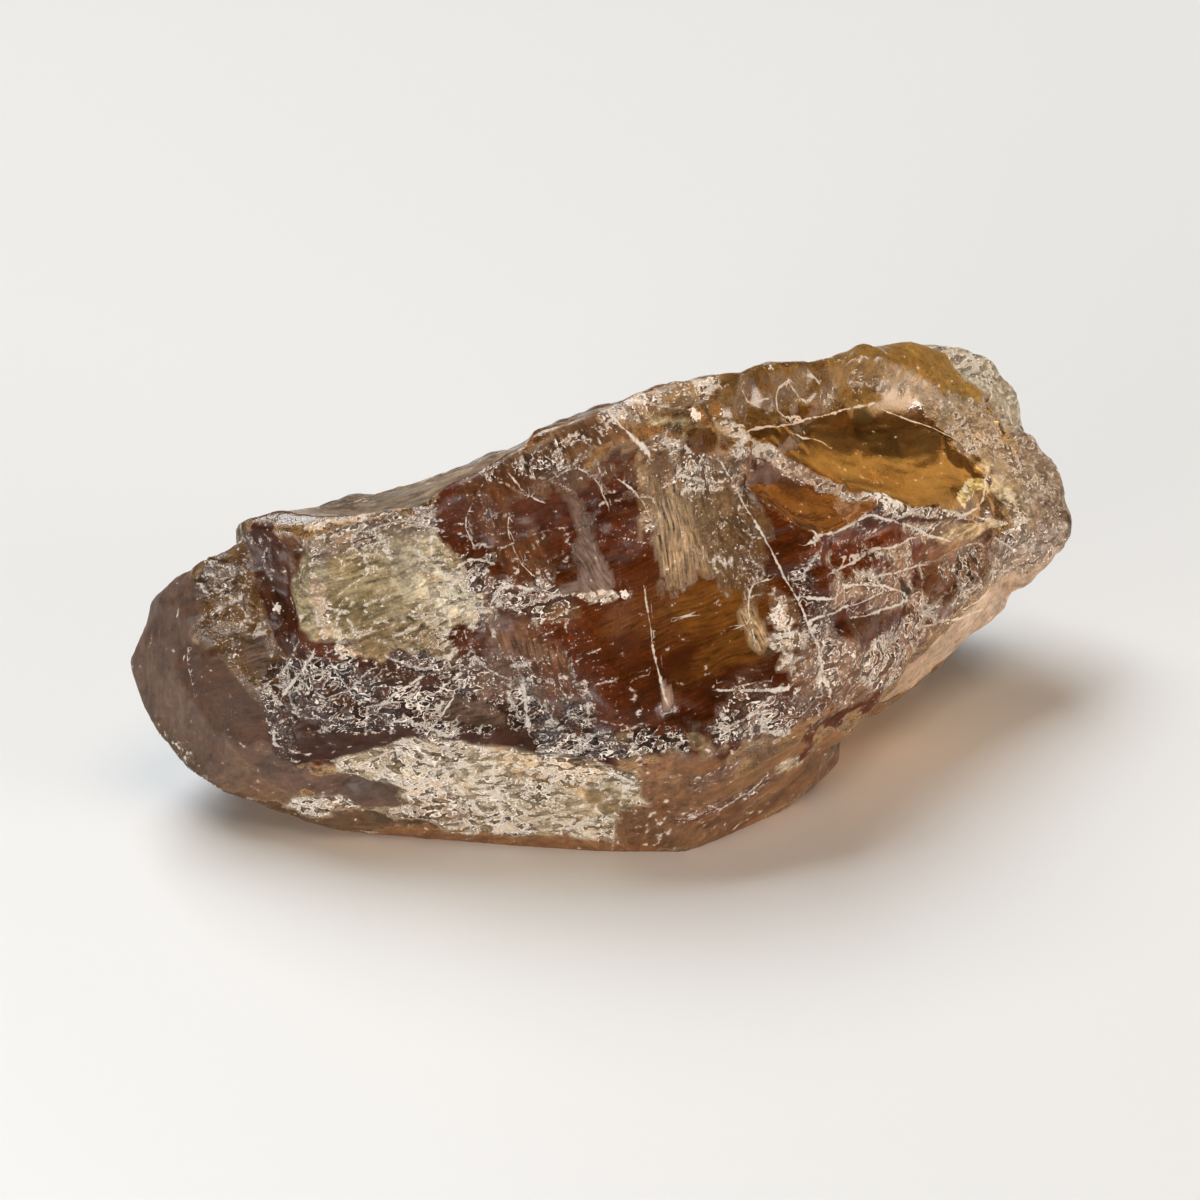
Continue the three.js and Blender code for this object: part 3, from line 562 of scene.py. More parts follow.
    Stroke(Finish.CLOUD, ((12.0, -0.5, 8.0), (12.9, 0.6, 8.1), (13.4, 0.9, 7.7)), 0.22, 1.0, 0.3,
        (0.89, 0.78, 0.46), taper=1.5),
    Stroke(Finish.CHALK, ((2.7, -3.5, 13.3), (4.1, -2.9, 12.1), (5.7, -2.4, 10.7), (7.3, -2.6, 9.8),
        (9.2, -2.3, 8.9), (12.6, -0.4, 7.3)), 0.30, 0.8, 0.9, (0.66, 0.57, 0.48), taper=0.5),
    # ledges and crust below them
    Stroke(Finish.RUST, ((5.2, -4.8, 8.8), (8.4, -3.2, 8.1), (10.8, -1.8, 6.9)), 0.75, 0.9, 0.6,
        (0.42, 0.20, 0.08), LEDGES),
    Stroke(Finish.FROST, ((5.6, -4.9, 8.9), (7.4, -3.7, 8.5)), 0.13, 0.7, 2.4, grain=LEDGES),
    Stroke(Finish.FROST, ((7.6, -3.6, 8.0), (9.6, -2.3, 7.4)), 0.16, 0.7, 2.4, grain=LEDGES),
    Stroke(Finish.FROST, ((9.4, -2.2, 8.2), (11.6, -1.0, 7.2)), 0.16, 0.7, 2.4, grain=LEDGES),
    Stroke(Finish.CRUST, ((4.6, -5.6, 9.0), (4.8, -5.9, 8.2), (5.3, -6.3, 7.0)), 0.55, 0.8, 0.9),
    Stroke(Finish.CRUST, ((5.6, -5.5, 8.0), (7.4, -4.2, 7.2), (9.4, -2.8, 6.4)), 0.60, 0.9, 0.8,
        (0.59, 0.45, 0.34), (0.8, 0.5, 0.25)),
    Stroke(Finish.CRUST, ((4.9, -6.8, 6.0), (6.6, -5.9, 4.8), (8.4, -4.3, 4.6), (10.0, -2.9, 5.0)), 1.0,
        0.9, 0.7, (0.55, 0.41, 0.31), (0.8, 0.5, 0.45)),
    Stroke(Finish.PITCH, ((9.2, -2.9, 6.3), (9.5, -2.7, 5.9)), 0.26, 0.9, 0.6),
    Stroke(Finish.RUST, ((6.4, -5.3, 6.5), (8.0, -4.2, 6.0)), 0.45, 1.0, 0.6, UMBER),
    # right end: frosted, with yellow and brown places and a clear pink strip below
    Stroke(Finish.ICE, ((13.4, 2.6, 9.5), (14.2, 1.8, 8.2), (15.2, 1.0, 6.6)), 1.2, 0.95, 0.5,
        (0.70, 0.60, 0.48)),
    Stroke(Finish.ICE, ((16.2, 2.0, 6.6), (16.6, 3.6, 7.4)), 1.5, 1.0, 0.3, (0.70, 0.60, 0.50)),
    Stroke(Finish.ICE, ((15.8, 5.2, 9.4), (13.6, 5.6, 10.8)), 1.4, 0.9, 0.4, (0.84, 0.78, 0.67)),
    Stroke(Finish.CLOUD, ((13.6, 1.5, 8.3), (14.2, 0.9, 7.5)), 0.36, 0.9, 0.9, (0.84, 0.73, 0.55)),
    Stroke(Finish.CLOUD, ((11.4, -1.1, 6.8), (13.4, -0.2, 6.8)), 0.30, 0.9, 0.9, (0.78, 0.66, 0.48)),
    Stroke(Finish.RUST, ((15.2, 0.6, 6.0), (15.5, 0.7, 5.8)), 0.30, 1.0, 0.5, (0.64, 0.41, 0.21)),
    Stroke(Finish.RUST, ((10.6, -1.8, 6.6), (13.0, -0.7, 5.8)), 0.40, 0.7, 0.9, (0.55, 0.37, 0.25)),
    Stroke(Finish.CRUST, ((10.6, -2.2, 6.2), (12.2, -1.2, 5.9), (13.8, -0.2, 5.8)), 0.55, 0.9, 1.3,
        (0.50, 0.37, 0.27), (0.3, 0.3, 0.9)),
    Stroke(Finish.BLUSH, ((8.4, -3.8, 1.9), (10.8, -2.4, 3.2), (13.4, -0.6, 3.9), (15.6, 0.6, 4.7)), 0.95,
        1.0, 0.2),
    Stroke(Finish.ICE, ((13.9, -0.2, 5.4), (15.2, 0.4, 5.4), (16.4, 1.1, 5.9)), 0.70, 0.9, 0.9,
        (0.60, 0.50, 0.42)),
    Stroke(Finish.FROST, ((9.4, -3.2, 5.0), (11.4, -2.0, 5.0), (13.4, -0.5, 5.1)), 0.22, 0.9, 1.8,
        (0.60, 0.49, 0.40), LEDGES),
    # fibrous cream patch and its tongues
    Stroke(Finish.MAUVE, ((-12.4, -2.9, 2.6), (-10.9, -3.7, 2.3), (-9.2, -4.2, 2.1)), 0.65, 1.0, 0.7,
        (0.41, 0.32, 0.27)),
    Stroke(Finish.CREAM, ((-7.6, -5.1, 4.0), (-5.8, -5.7, 3.6)), 0.75, 1.0, 0.7, grain=FIBRES),
    Stroke(Finish.CREAM, ((-7.0, -5.2, 2.7), (-4.4, -6.2, 2.7), (-2.1, -7.0, 2.6)), 1.3, 1.0, 0.5,
        grain=FIBRES),
    Stroke(Finish.CREAM, ((-7.2, -4.6, 0.9), (-2.2, -6.7, 1.0)), 0.66, 1.0, 0.9, grain=FIBRES),
    Stroke(Finish.CREAM, ((-10.2, -4.0, 3.1), (-7.8, -5.0, 2.9)), 0.36, 1.0, 1.4, grain=(1.0, -0.4, 0.0),
        taper=1.8),
    Stroke(Finish.CREAM, ((-11.4, -3.2, 1.4), (-9.4, -4.0, 1.4), (-7.2, -4.8, 1.4)), 0.55, 1.0, 1.1,
        (0.62, 0.54, 0.46), (1.0, -0.4, 0.0), taper=1.5),
    Stroke(Finish.CREAM, ((-5.4, -6.1, 3.7), (-3.2, -6.7, 3.2)), 0.50, 0.8, 1.4, (0.70, 0.58, 0.43)),
    Stroke(Finish.OLIVE, ((-2.4, -6.9, 2.2), (-1.6, -7.0, 1.8)), 0.40, 0.7, 1.2, (0.59, 0.48, 0.32)),
    # ridge, the smooth brown lower right and the thin clear foot
    Stroke(Finish.CRUST, ((-4.4, -6.4, 4.4), (-0.6, -7.6, 4.5), (3.6, -7.3, 4.4)), 0.45, 0.9, 0.9),
    Stroke(Finish.CRUST, ((2.0, -7.3, 5.0), (4.8, -6.9, 4.6)), 0.70, 0.8, 0.8, (0.43, 0.30, 0.22)),
    Stroke(Finish.BLUSH, ((-0.2, -7.7, 3.2), (1.4, -7.5, 1.8), (3.8, -6.7, 2.2)), 1.25, 0.9, 0.4,
        (0.58, 0.40, 0.27), RISING),
    Stroke(Finish.BLUSH, ((-1.2, -7.0, 0.9), (0.6, -7.4, 0.8), (2.8, -6.7, 0.4), (4.6, -6.3, 1.2),
        (5.6, -5.6, 2.2)), 0.9, 0.9, 0.4, (0.55, 0.37, 0.24), RISING),
    Stroke(Finish.BLUSH, ((5.3, -5.2, 0.5), (6.1, -4.7, 0.7), (6.6, -4.4, 1.3)), 0.70, 1.0, 0.4,
        (0.52, 0.37, 0.27)),
    Stroke(Finish.CRUST, ((0.6, -7.8, 2.8), (1.6, -7.8, 3.2)), 0.30, 0.8, 2.0, BRUISED, RISING),
    Stroke(Finish.CRUST, ((0.0, -7.4, 1.4), (1.4, -7.5, 1.9)), 0.26, 0.8, 2.0, BRUISED, RISING),
    Stroke(Finish.CRUST, ((2.1, -7.3, 1.8), (4.0, -6.7, 2.4)), 0.26, 0.8, 2.0, BRUISED, RISING),
    Stroke(Finish.CREAM, ((3.6, -6.9, 2.5), (4.3, -6.6, 2.4)), 0.24, 1.0, 0.6),
    Stroke(Finish.RUST, ((4.5, -6.5, 2.6), (4.7, -6.4, 2.6)), 0.22, 1.0, 0.6),
    Stroke(Finish.BLUSH, ((-9.0, -3.8, 0.0), (-2.3, -6.6, -0.1), (2.6, -6.4, 0.0)), 0.5, 0.9, 0.6,
        (0.61, 0.41, 0.26)),
)
SCOOP_COVER = 0.92
FLOW_SIZE = 0.9
FLOW_BEND = 0.12
FLOW_SEEDS = (91, 92, 93)
STROKE_EDGE = (0.93, 1.05)
STROKE_SPREAD = 1.6
FRINGE = np.array([0.16, 1.0, 0.5])
MOTTLE_STRETCH = np.array([0.5, 1.0, 1.0])
STROKE_RAGGED = ((1.1, 0.7, 51), (0.42, 0.5, 52), (0.21, 0.3, 53))
STONE_LENGTH = (1.0, 0.0, 0.25)
MEAN_FACING = (0.0, -1.0, 0.4)
GRAIN_COVER = 0.5
COLOUR = slice(0, 3)
SURFACE = slice(3, 5)
CURLS, DUST, RUBBLE = 5, 6, 8
RELIEF = slice(7, 9)


@dataclass(frozen=True)
class Crumb:
    """A loose crumb of white flake on the skin.

    Attributes:
        at: its middle.
        reach: its half width.
        rise: how far it stands out.
    """

    at: Point
    reach: float
    rise: float = 0.12

    def distance(self, at: Array) -> Array:
        """Distance of points from its middle, in its half widths."""
        return np.linalg.norm(at - np.array(self.at), axis=1) / self.reach


CRUMBS = (
    Crumb((-11.7, -1.2, 7.7), 0.30),
    Crumb((-1.3, -5.3, 8.8), 0.26, 0.05),
    Crumb((7.3, -5.0, 5.5), 0.36, 0.10),
    Crumb((6.8, -5.3, 5.4), 0.22, 0.08),
    Crumb((1.6, -3.3, 13.9), 0.30, 0.06),
    Crumb((3.5, -6.0, 7.6), 0.22, 0.06),
    Crumb((4.0, -7.2, 5.4), 0.26, 0.06),
)


@dataclass(frozen=True)
class Seam:
    """A thin white bruise line on a ridge, or a scratch.

    Attributes:
        path: points that it passes.
        width: half its width.
        taper: its width at the end of the path, as a share of that at the start.
    """

    path: tuple[Point, ...]
    width: float
    taper: float = 1.0


SEAMS = (
    # the long edge right of the front face
    Seam(((2.3, -4.1, 12.4), (2.8, -4.4, 11.4), (3.6, -5.2, 9.7), (4.3, -6.0, 8.1), (4.9, -6.8, 6.4),
        (5.3, -6.8, 4.9)), 0.026),
    # scratches on the front face
    Seam(((-0.6, -5.2, 9.0), (-0.5, -6.0, 7.6), (-0.4, -7.0, 5.6)), 0.016, taper=1.6),
    Seam(((-1.5, -6.6, 6.4), (-0.8, -6.5, 6.4)), 0.012),
    Seam(((0.3, -5.6, 7.8), (1.2, -5.6, 7.9)), 0.010),
    Seam(((1.7, -6.0, 7.3), (2.6, -5.9, 7.5)), 0.012),
    Seam(((1.4, -6.9, 5.8), (2.2, -7.2, 5.7), (3.6, -7.2, 5.7)), 0.025, taper=2.0),
    # shell marks right of it
    Seam(((2.8, -6.3, 6.9), (2.7, -5.7, 7.8), (2.9, -5.4, 8.5), (3.5, -5.5, 8.7)), 0.010, taper=1.6),
    # borders of the amber window
    Seam(((2.6, -3.5, 13.3), (4.2, -2.2, 12.5), (6.3, -0.4, 11.7), (8.3, 1.1, 11.2), (9.6, 1.7, 11.0)),
        0.020),
    Seam(((9.8, 1.7, 10.8), (11.0, 1.9, 10.1), (12.2, 2.0, 9.4), (13.0, 1.7, 8.9)), 0.014),
    Seam(((13.5, 1.0, 7.9), (13.1, 0.2, 7.3), (12.0, -0.5, 7.5)), 0.028),
    # shell marks above it
    Seam(((5.9, -0.3, 13.2), (5.1, -1.0, 13.2), (5.0, -1.2, 12.7), (5.4, -0.9, 12.1), (6.1, -0.4, 11.9)),
        0.024),
    Seam(((5.9, -0.3, 13.1), (6.2, -0.2, 12.7), (6.6, 0.0, 12.2)), 0.020),
    Seam(((6.7, 0.3, 13.0), (7.3, 0.6, 12.7), (7.2, 0.4, 12.0)), 0.020),
    Seam(((3.5, -2.2, 14.0), (4.1, -1.7, 13.3), (4.7, -1.3, 13.1)), 0.022),
    Seam(((5.6, -1.3, 11.8), (6.8, -0.5, 11.0), (7.2, -0.5, 10.6)), 0.016),
    # curved marks in the dark recess
    Seam(((-5.7, -3.4, 11.8), (-6.0, -3.4, 11.1), (-5.8, -3.6, 10.3)), 0.012),
    Seam(((-4.7, -3.8, 11.3), (-4.7, -4.0, 10.5), (-4.2, -4.7, 9.6)), 0.010, taper=2.0),
    Seam(((-4.5, -3.3, 12.6), (-4.2, -3.6, 12.0), (-3.4, -3.6, 11.5)), 0.014),
    Seam(((-3.2, -3.5, 12.2), (-2.5, -3.6, 12.8), (-1.7, -3.7, 12.3), (-1.5, -4.2, 11.4)), 0.012),
    Seam(((-6.3, -3.8, 9.8), (-5.8, -3.8, 10.0), (-5.3, -4.1, 9.9)), 0.022),
    Seam(((-1.0, -3.9, 12.2), (-0.4, -4.1, 11.7), (-0.2, -4.5, 10.9)), 0.014),
    Seam(((-5.5, -4.6, 8.8), (-5.0, -4.6, 9.3), (-4.3, -5.0, 9.2)), 0.022),
    # ledges
    Seam(((4.6, -5.1, 9.7), (6.2, -3.7, 9.1), (7.6, -3.1, 9.3)), 0.030),
    Seam(((7.8, -3.0, 9.3), (9.5, -2.0, 8.2), (11.4, -1.0, 6.8)), 0.028),
    Seam(((5.5, -5.6, 8.7), (6.8, -4.1, 8.2), (7.8, -3.3, 8.1)), 0.028),
    Seam(((4.4, -5.9, 8.2), (5.3, -6.0, 7.9), (6.5, -4.9, 7.8)), 0.026),
    Seam(((6.1, -5.2, 8.0), (7.9, -3.9, 7.1), (9.5, -2.6, 5.8)), 0.026),
    Seam(((6.5, -5.3, 6.8), (7.9, -4.1, 6.2), (9.5, -2.6, 5.6)), 0.026),
    Seam(((6.6, -4.2, 8.6), (8.4, -3.1, 8.0), (10.4, -1.8, 7.4)), 0.022),
    Seam(((7.4, -4.2, 7.6), (9.0, -3.0, 7.0), (10.8, -1.8, 6.3)), 0.022),
    Seam(((4.8, -6.2, 7.4), (6.4, -5.2, 7.2), (8.0, -4.0, 6.8)), 0.022),
    # lines of the crust, the crest and the left dome
    Seam(((-1.0, -3.1, 14.1), (-0.7, -3.5, 13.6), (-0.2, -3.9, 13.0)), 0.034),
    Seam(((-9.1, -4.3, 5.3), (-8.5, -4.5, 6.0), (-7.8, -4.5, 6.3)), 0.028),
    Seam(((-7.6, -5.1, 4.8), (-7.2, -4.9, 5.1), (-6.9, -4.8, 5.5)), 0.026),
    Seam(((-11.9, -2.6, 5.3), (-11.3, -2.6, 6.0), (-10.9, -2.8, 6.9)), 0.034),
    Seam(((-4.6, -5.1, 5.9), (-4.6, -5.9, 4.6)), 0.030),
    Seam(((-14.6, -0.4, 6.3), (-14.6, -0.6, 5.4), (-14.5, -0.9, 4.4)), 0.011),
    # pale veins under the right end
    Seam(((9.5, -3.1, 4.7), (11.0, -2.3, 4.5), (12.8, -1.0, 3.9)), 0.022),
    Seam(((11.7, -1.9, 4.6), (12.9, -1.0, 4.4), (13.2, -0.8, 4.9)), 0.018),
)
SEAM_FAR = 9.0
SEAM_DEPTH = 1.2
SEAM_FADE = (0.3, 0.7)
SEAM_WAVER = ((0.9, 0.07, 95), (0.35, 0.03, 96))
SEAM_SWELL = 1.3
SEAM_SWELL_SIZE = 0.7
SEAM_SWELL_SEED = 97


@dataclass(frozen=True)
class Bruising:
    """How white one kind of mark turns.

    Attributes:
        span: values of what is measured between which the mark turns from dull to white.
        weight: how much the measure counts.
        level: the finish's share of white at which it neither adds nor takes away.
        share: how much the finish's share counts.
        broken: how much slow noise breaks the mark up.
    """

    span: tuple[float, float]
    weight: float
    level: float
    share: float
    broken: float

    def amount(self, measure: Array, cover: Array, noise_level: Array) -> Array:
        """Adds up the measure, the finish's share and the noise."""
        mark = smooth_step(*self.span, measure) * self.weight
        return mark + (cover - self.level) * self.share + noise_level * self.broken


CRESTS = Bruising((0.22, 0.0), 0.6, 0.75, 0.6, 0.5)
SHARP_EDGES = Bruising((0.014, 0.045), 0.6, 0.6, 0.35, 0.4)
BREAKING = ((0.55, 0.5, 61), (0.24, 0.5, 62))
SPECKS = ((0.17, 0.35, 63), (0.34, 0.30, 64))
SPECK_SHARE = 0.7
SPECK_LEVEL = 0.05
DUST_LEAST = 0.02
CRUMB_SLOPE = (0.2, 1.0)
CRUMB_EDGE = (0.5, 1.2)
CRUMB_BROKEN = 0.3
CURL_PATCHES = ((1.3, 0.48, 71), (0.45, 0.40, 72))
MOTTLE_LIGHT = ((1.1, 0.16, 75), (0.5, 0.22, 76), (0.25, 0.20, 77))
MOTTLE_HUE = ((1.7, 0.6, 78), (0.6, 0.4, 79))
MOTTLE_SHIFT = np.array([0.05, -0.06, -0.14])
# painted shade in the creases between the middle bowls: its width in height gap, and how much it darkens
CREASE_SHADE_WIDTH = 0.10
CREASE_SHADE = 0.35


# ---------------------------------------------------------------- number fields


HASH_AXES = np.array([12.9898, 78.233, 37.719])
HASH_SEED = 4.1414
HASH_SCALE = 43758.5453
NOISE_SHIFT = 7.31


def unit(vector: Array) -> Array:
    """Returns a vector scaled to length one."""
    return vector / np.linalg.norm(vector)


def smooth_step(low: float, high: float, value: Array) -> Array:
    """Rises from 0 at low to 1 at high along the curve 3t^2 - 2t^3."""
    share = np.clip((value - low) / (high - low), 0, 1)
    return share * share * (3 - 2 * share)


def cell_value(cell: Array, seed: float) -> Array:
    """A repeatable value of 0 to 1 for each lattice cell: the broken part of a large sine.

    Args:
        cell: whole numbers of the cells, one cell per row.
        seed: picks the layout.

    Returns:
        One value for each cell.
    """
    wave = cell @ HASH_AXES + seed * HASH_SEED
    value = np.sin(wave) * HASH_SCALE
    return value - np.floor(value)


def noise(at: Array, size: float, seed: float) -> Array:
    """Smooth noise from -1 to 1: the values of a lattice's corners, blended across each cell.

    Args:
        at: points, one per row.
        size: spacing of the lattice.
        seed: picks the layout.

    Returns:
        One value for each point.
    """
    place = at / size + seed * NOISE_SHIFT
    corner = np.floor(place)
    share = place - corner
    share = share * share * (3 - 2 * share)
    total = np.zeros(len(at))
    for step in itertools.product((0, 1), repeat=3):
        weight = np.prod(np.where(np.array(step) == 1, share, 1 - share), axis=1)
        total += weight * cell_value(corner + step, seed)
    return total * 2 - 1


def clouds(at: Array, layers: Layers) -> Array:
    """The sum of several layers of noise, each given by its size, its height and its seed."""
    return sum(noise(at, size, seed) * height for size, height, seed in layers)


def near_path(at: Array, path: tuple[Point, ...] | Array, reach: float) -> Array:
    """Numbers of the points in the box round a path, which is grown by a reach.

    Args:
        at: points, one per row.
        path: corners of the path.
        reach: how far the box is grown.

    Returns:
        The points' numbers.
    """
    corners = np.array(path)
    inside = (at > corners.min(0) - reach) & (at < corners.max(0) + reach)
    return np.flatnonzero(inside.all(1))


def rounded(path: tuple[Point, ...]) -> Array:
    """Rounds a path by cutting each corner at a quarter of its two lengths.

    Args:
        path: corners of the path.

    Returns:
        The corners of the rounded path.
    """
    corners = np.array(path)
    first = corners[:-1] * 0.75 + corners[1:] * 0.25
    second = corners[:-1] * 0.25 + corners[1:] * 0.75
    cut = np.stack([first, second], 1).reshape(-1, 3)
    return np.vstack([corners[:1], cut[1:-1], corners[-1:]])


def path_distance(at: Array, path: tuple[Point, ...] | Array) -> tuple[Array, Array, Array, Array]:
    """Distance from points to a path: the least over its straight lengths.

    Args:
        at: points, one per row.
        path: corners of the path.

    Returns:
        The distance, the vector from the path to each point, the path's direction there, and the
        share of the path that lies before it.
    """
    best = np.full(len(at), np.inf)
    offset = np.zeros_like(at)
    heading = np.zeros_like(at)
    before = np.zeros(len(at))
    corners = np.array(path)
    for number, (start, end) in enumerate(zip(corners[:-1], corners[1:])):
        run = end - start
        share = np.clip((at - start) @ run / (run @ run), 0, 1)
        away = at - start - share[:, None] * run
        distance = np.linalg.norm(away, axis=1)
        near = distance < best
        best = np.where(near, distance, best)
        offset[near] = away[near]
        heading[near] = unit(run)
        before = np.where(near, (number + share) / (len(corners) - 1), before)
    return best, offset, heading, before


# ---------------------------------------------------------------- the stone


@dataclass
class Skin:
    """The stone's surface before it is made a mesh.

    Attributes:
        points: vertices in stone millimetres.
        squares: four vertex numbers for each face.
        facing: outward normals.
        scoop: number of the break that each vertex lies in, or -1.
        worn: share of the chipping at each vertex.
        flake: for each size of chipping, the signed height to the next lowest bowl.
    """

    points: Array
    squares: Array
    facing: Array
    scoop: Array
    worn: Array
    flake: list[Array]


@dataclass
class Stone:
    """The apatite: builds its skin, lays its finishes and makes the mesh.

    Attributes:
        steps: divisions of the ray box along X, Y and Z.
        name: name of the piece.
    """

    steps: tuple[int, int, int] = SKIN_STEPS
    name: str = "apatite_crystal"

    def lattice(self) -> tuple[Array, Array]:
        """The surface lattice of a box from -1 to 1.

        Every lattice point with a coordinate at either end of its range lies on the surface, and
        each of the six sides is a grid of squares wound to face outwards.

        Returns:
            The points, and the squares.
        """
        count = np.array(self.steps)
        grid = np.stack(np.meshgrid(*[np.arange(k + 1) for k in count], indexing="ij"), -1)
        outside = ((grid == 0) | (grid == count)).any(-1)
        number = -np.ones(outside.shape, int)
        number[outside] = np.arange(outside.sum())
        squares = []
        for axis, side in itertools.product(range(3), (0, 1)):
            sheet = np.take(number, count[axis] * side, axis=axis)
            corners = [sheet[:-1, :-1], sheet[1:, :-1], sheet[1:, 1:], sheet[:-1, 1:]]
            square = np.stack(corners, -1).reshape(-1, 4)
            squares.append(square if (side == 1) != (axis == 1) else square[:, ::-1])
        return grid[outside] / count * 2 - 1, np.vstack(squares)

    def cross_lobe(self, lobe: Lobe, start: Array, ray: Array) -> tuple[Array, Array]:
        """Where rays leave a convex mass.

        A ray leaves at the nearest plane that it meets from behind. Near an edge the two nearest
        planes are joined by a round.

        Args:
            lobe: the mass.
            start: starts of the rays.
            ray: their directions.

        Returns:
            The ray parameter where it leaves, and where it enters.
        """
        normals, reaches = lobe.planes()
        slope = ray @ normals.T
        with np.errstate(divide="ignore", invalid="ignore"):
            crossing = (reaches - start @ normals.T) / slope
        leaving = np.where(slope > HULL_TOLERANCE, crossing, np.inf)
        entering = np.where(slope < -HULL_TOLERANCE, crossing, -np.inf).max(1)
        return first_crossing(leaving, np.linalg.norm(ray, axis=1), EDGE_ROUND), entering

    def cross_scoop(self, scoop: Scoop, start: Array, ray: Array) -> Array:
        """Where rays enter a shell-shaped break: the first root of the ellipsoid's equation.

        Args:
            scoop: the break.
            start: starts of the rays.
            ray: their directions.

        Returns:
            The ray parameter, or infinity for a ray that misses.
        """
        centre, to_ball = scoop.frame()
        begin, run = (start - centre) @ to_ball.T, ray @ to_ball.T
        square, half = (run * run).sum(1), (begin * run).sum(1)
        inside = half * half - square * ((begin * begin).sum(1) - 1)
        with np.errstate(invalid="ignore"):
            root = (-half - np.sqrt(inside)) / square
        return np.where((inside > 0) & (half < 0), root, np.inf)

    def break_surface(self) -> Skin:
        """Sends the rays out and ends each at the first break that it meets.

        Returns:
            The skin, not yet chipped.
        """
        box, squares = self.lattice()
        placed = box * RAY_BOX
        start = RAY_CENTRE + placed[:, :1] * SPINE_SHARE * SPINE_SLOPE
        ray = placed[:, :1] * (1 - SPINE_SHARE) * SPINE_SLOPE + placed * np.array([0, 1, 1])
        length = np.linalg.norm(ray, axis=1)
        reach, _ = self.cross_lobe(LOBES[0], start, ray)
        for lobe in LOBES[1:]:
            log.debug("mass: %s", lobe.name)
            leave, enter = self.cross_lobe(lobe, start, ray)
            apart = smooth_step(-UNDERCUT, UNDERCUT, (enter - reach) * length)
            overlap = np.clip(LOBE_BLEND - np.abs(leave - reach) * length, 0, None)
            joined = np.maximum(reach, leave) + overlap**2 / (4 * LOBE_BLEND) / length
            met = (leave > enter) & (apart < 1)
            reach = np.where(met, joined * (1 - apart) + reach * apart, reach)
        hits = [reach] + [self.cross_scoop(scoop, start, ray) for scoop in SCOOPS]
        hits = np.stack(hits, 1)
        points = start + ray * first_crossing(hits, length, SCOOP_ROUND)[:, None]
        facing = vertex_normals(points, squares)
        return Skin(points, squares, facing, hits.argmin(1) - 1, np.ones(len(points)), [])

    def chip(self, skin: Skin, rubble: Array) -> None:
        """Wears the chipping into the skin, less of it in the calm places.

        Args:
            skin: the skin, which is changed.
            rubble: share of the finest chipping at each vertex.
        """
        at = skin.points.copy()
        ragged = clouds(at, CALM_RAGGED)
        for calm in CALMS:
            log.debug("calm place: %s", calm.name)
            distance = np.linalg.norm((at - np.array(calm.at)) / np.array(calm.reach), axis=1)
            cover = 1 - smooth_step(*CALM_EDGE, distance + ragged)
            skin.worn = skin.worn * (1 - cover * (1 - calm.keep))
        bend = np.stack([noise(at, WARP_SIZE, seed) for seed in WARP_SEEDS], 1)
        bent = at + bend * WARP_DEPTH
        rise = clouds(at, SWELLS)
        for chipping in CHIPPINGS:
            height, gap = chipping.bowls(bent)
            share = rubble if chipping.fine else skin.worn
            rise -= (height - BOWL_LEVEL) * chipping.depth * share
            skin.flake.append(gap)
        for crumb in CRUMBS:
            distance = crumb.distance(at)
            rise += crumb.rise * (1 - smooth_step(*CRUMB_SLOPE, distance))
        rise *= smooth_step(0, FOOT_RISE, at[:, 2])
        skin.points = at + skin.facing * rise[:, None]
        skin.points[:, 2] = np.maximum(skin.points[:, 2], 0)

    def lay_finishes(self, skin: Skin) -> tuple[Array, Array]:
        """Lays the finishes: first those of the breaks, then the strokes in their order.

        Each finish is a row of numbers, and a layer blends the rows by how far it covers a vertex.
        The striae follow the heading of the stroke on top, or the stone's length.

        Args:
            skin: the skin.

        Returns:
            The rows, and the place of each vertex in the striae's own axes.
        """
        at = skin.points
        rows = np.tile(look_row(Finish.BACK.value), (len(at), 1))
        bend = np.stack([noise(at, FLOW_SIZE, seed) for seed in FLOW_SEEDS], 1) * FLOW_BEND
        flow = grain_axes(at + bend, STONE_LENGTH)
        ragged = clouds(at, STROKE_RAGGED)
        for stroke in GROUNDS:
            self.paint(stroke, at, bend, ragged, rows, flow)
        for number, scoop in enumerate(SCOOPS):
            inside = skin.scoop == number
            log.debug("break: %s, %d vertices", scoop.name, inside.sum())
            if scoop.finish:
                cover = inside * SCOOP_COVER
                rows[:] = blend_rows(rows, look_row(scoop.finish.value), cover)
        for stroke in STROKES:
            self.paint(stroke, at, bend, ragged, rows, flow)
        return rows, flow

    def paint(
        self, stroke: Stroke, at: Array, bend: Array, ragged: Array, rows: Array, flow: Array
    ) -> None:
        """Lays one stroke where its distance, in its own half widths, is less than one.

        Args:
            stroke: the stroke.
            at: the vertices.
            bend: how far the striae are bent at each vertex.
            ragged: how far an even border is pushed out or in.
            rows: the finishes' numbers, which are changed.
            flow: the places in the striae's axes, which are changed.
        """
        spread = stroke.reach * max(1, stroke.taper) * (1 + STROKE_SPREAD * stroke.ragged)
        near = near_path(at, stroke.path, spread)
        distance, _, _, before = path_distance(at[near], stroke.path)
        reach = stroke.reach * (1 + (stroke.taper - 1) * before)
        border = ragged[near]
        if stroke.grain:
            own = grain_axes(at[near] + bend[near], stroke.grain)
            border = clouds(own / MM * FRINGE, STROKE_RAGGED)
        edge = distance / reach + border * stroke.ragged
        cover = (1 - smooth_step(*STROKE_EDGE, edge)) * stroke.strength
        rows[near] = blend_rows(rows[near], look_row(stroke.finish.value, stroke.tint), cover)
        if stroke.grain:
            flow[near] = np.where((cover > GRAIN_COVER)[:, None], own, flow[near])

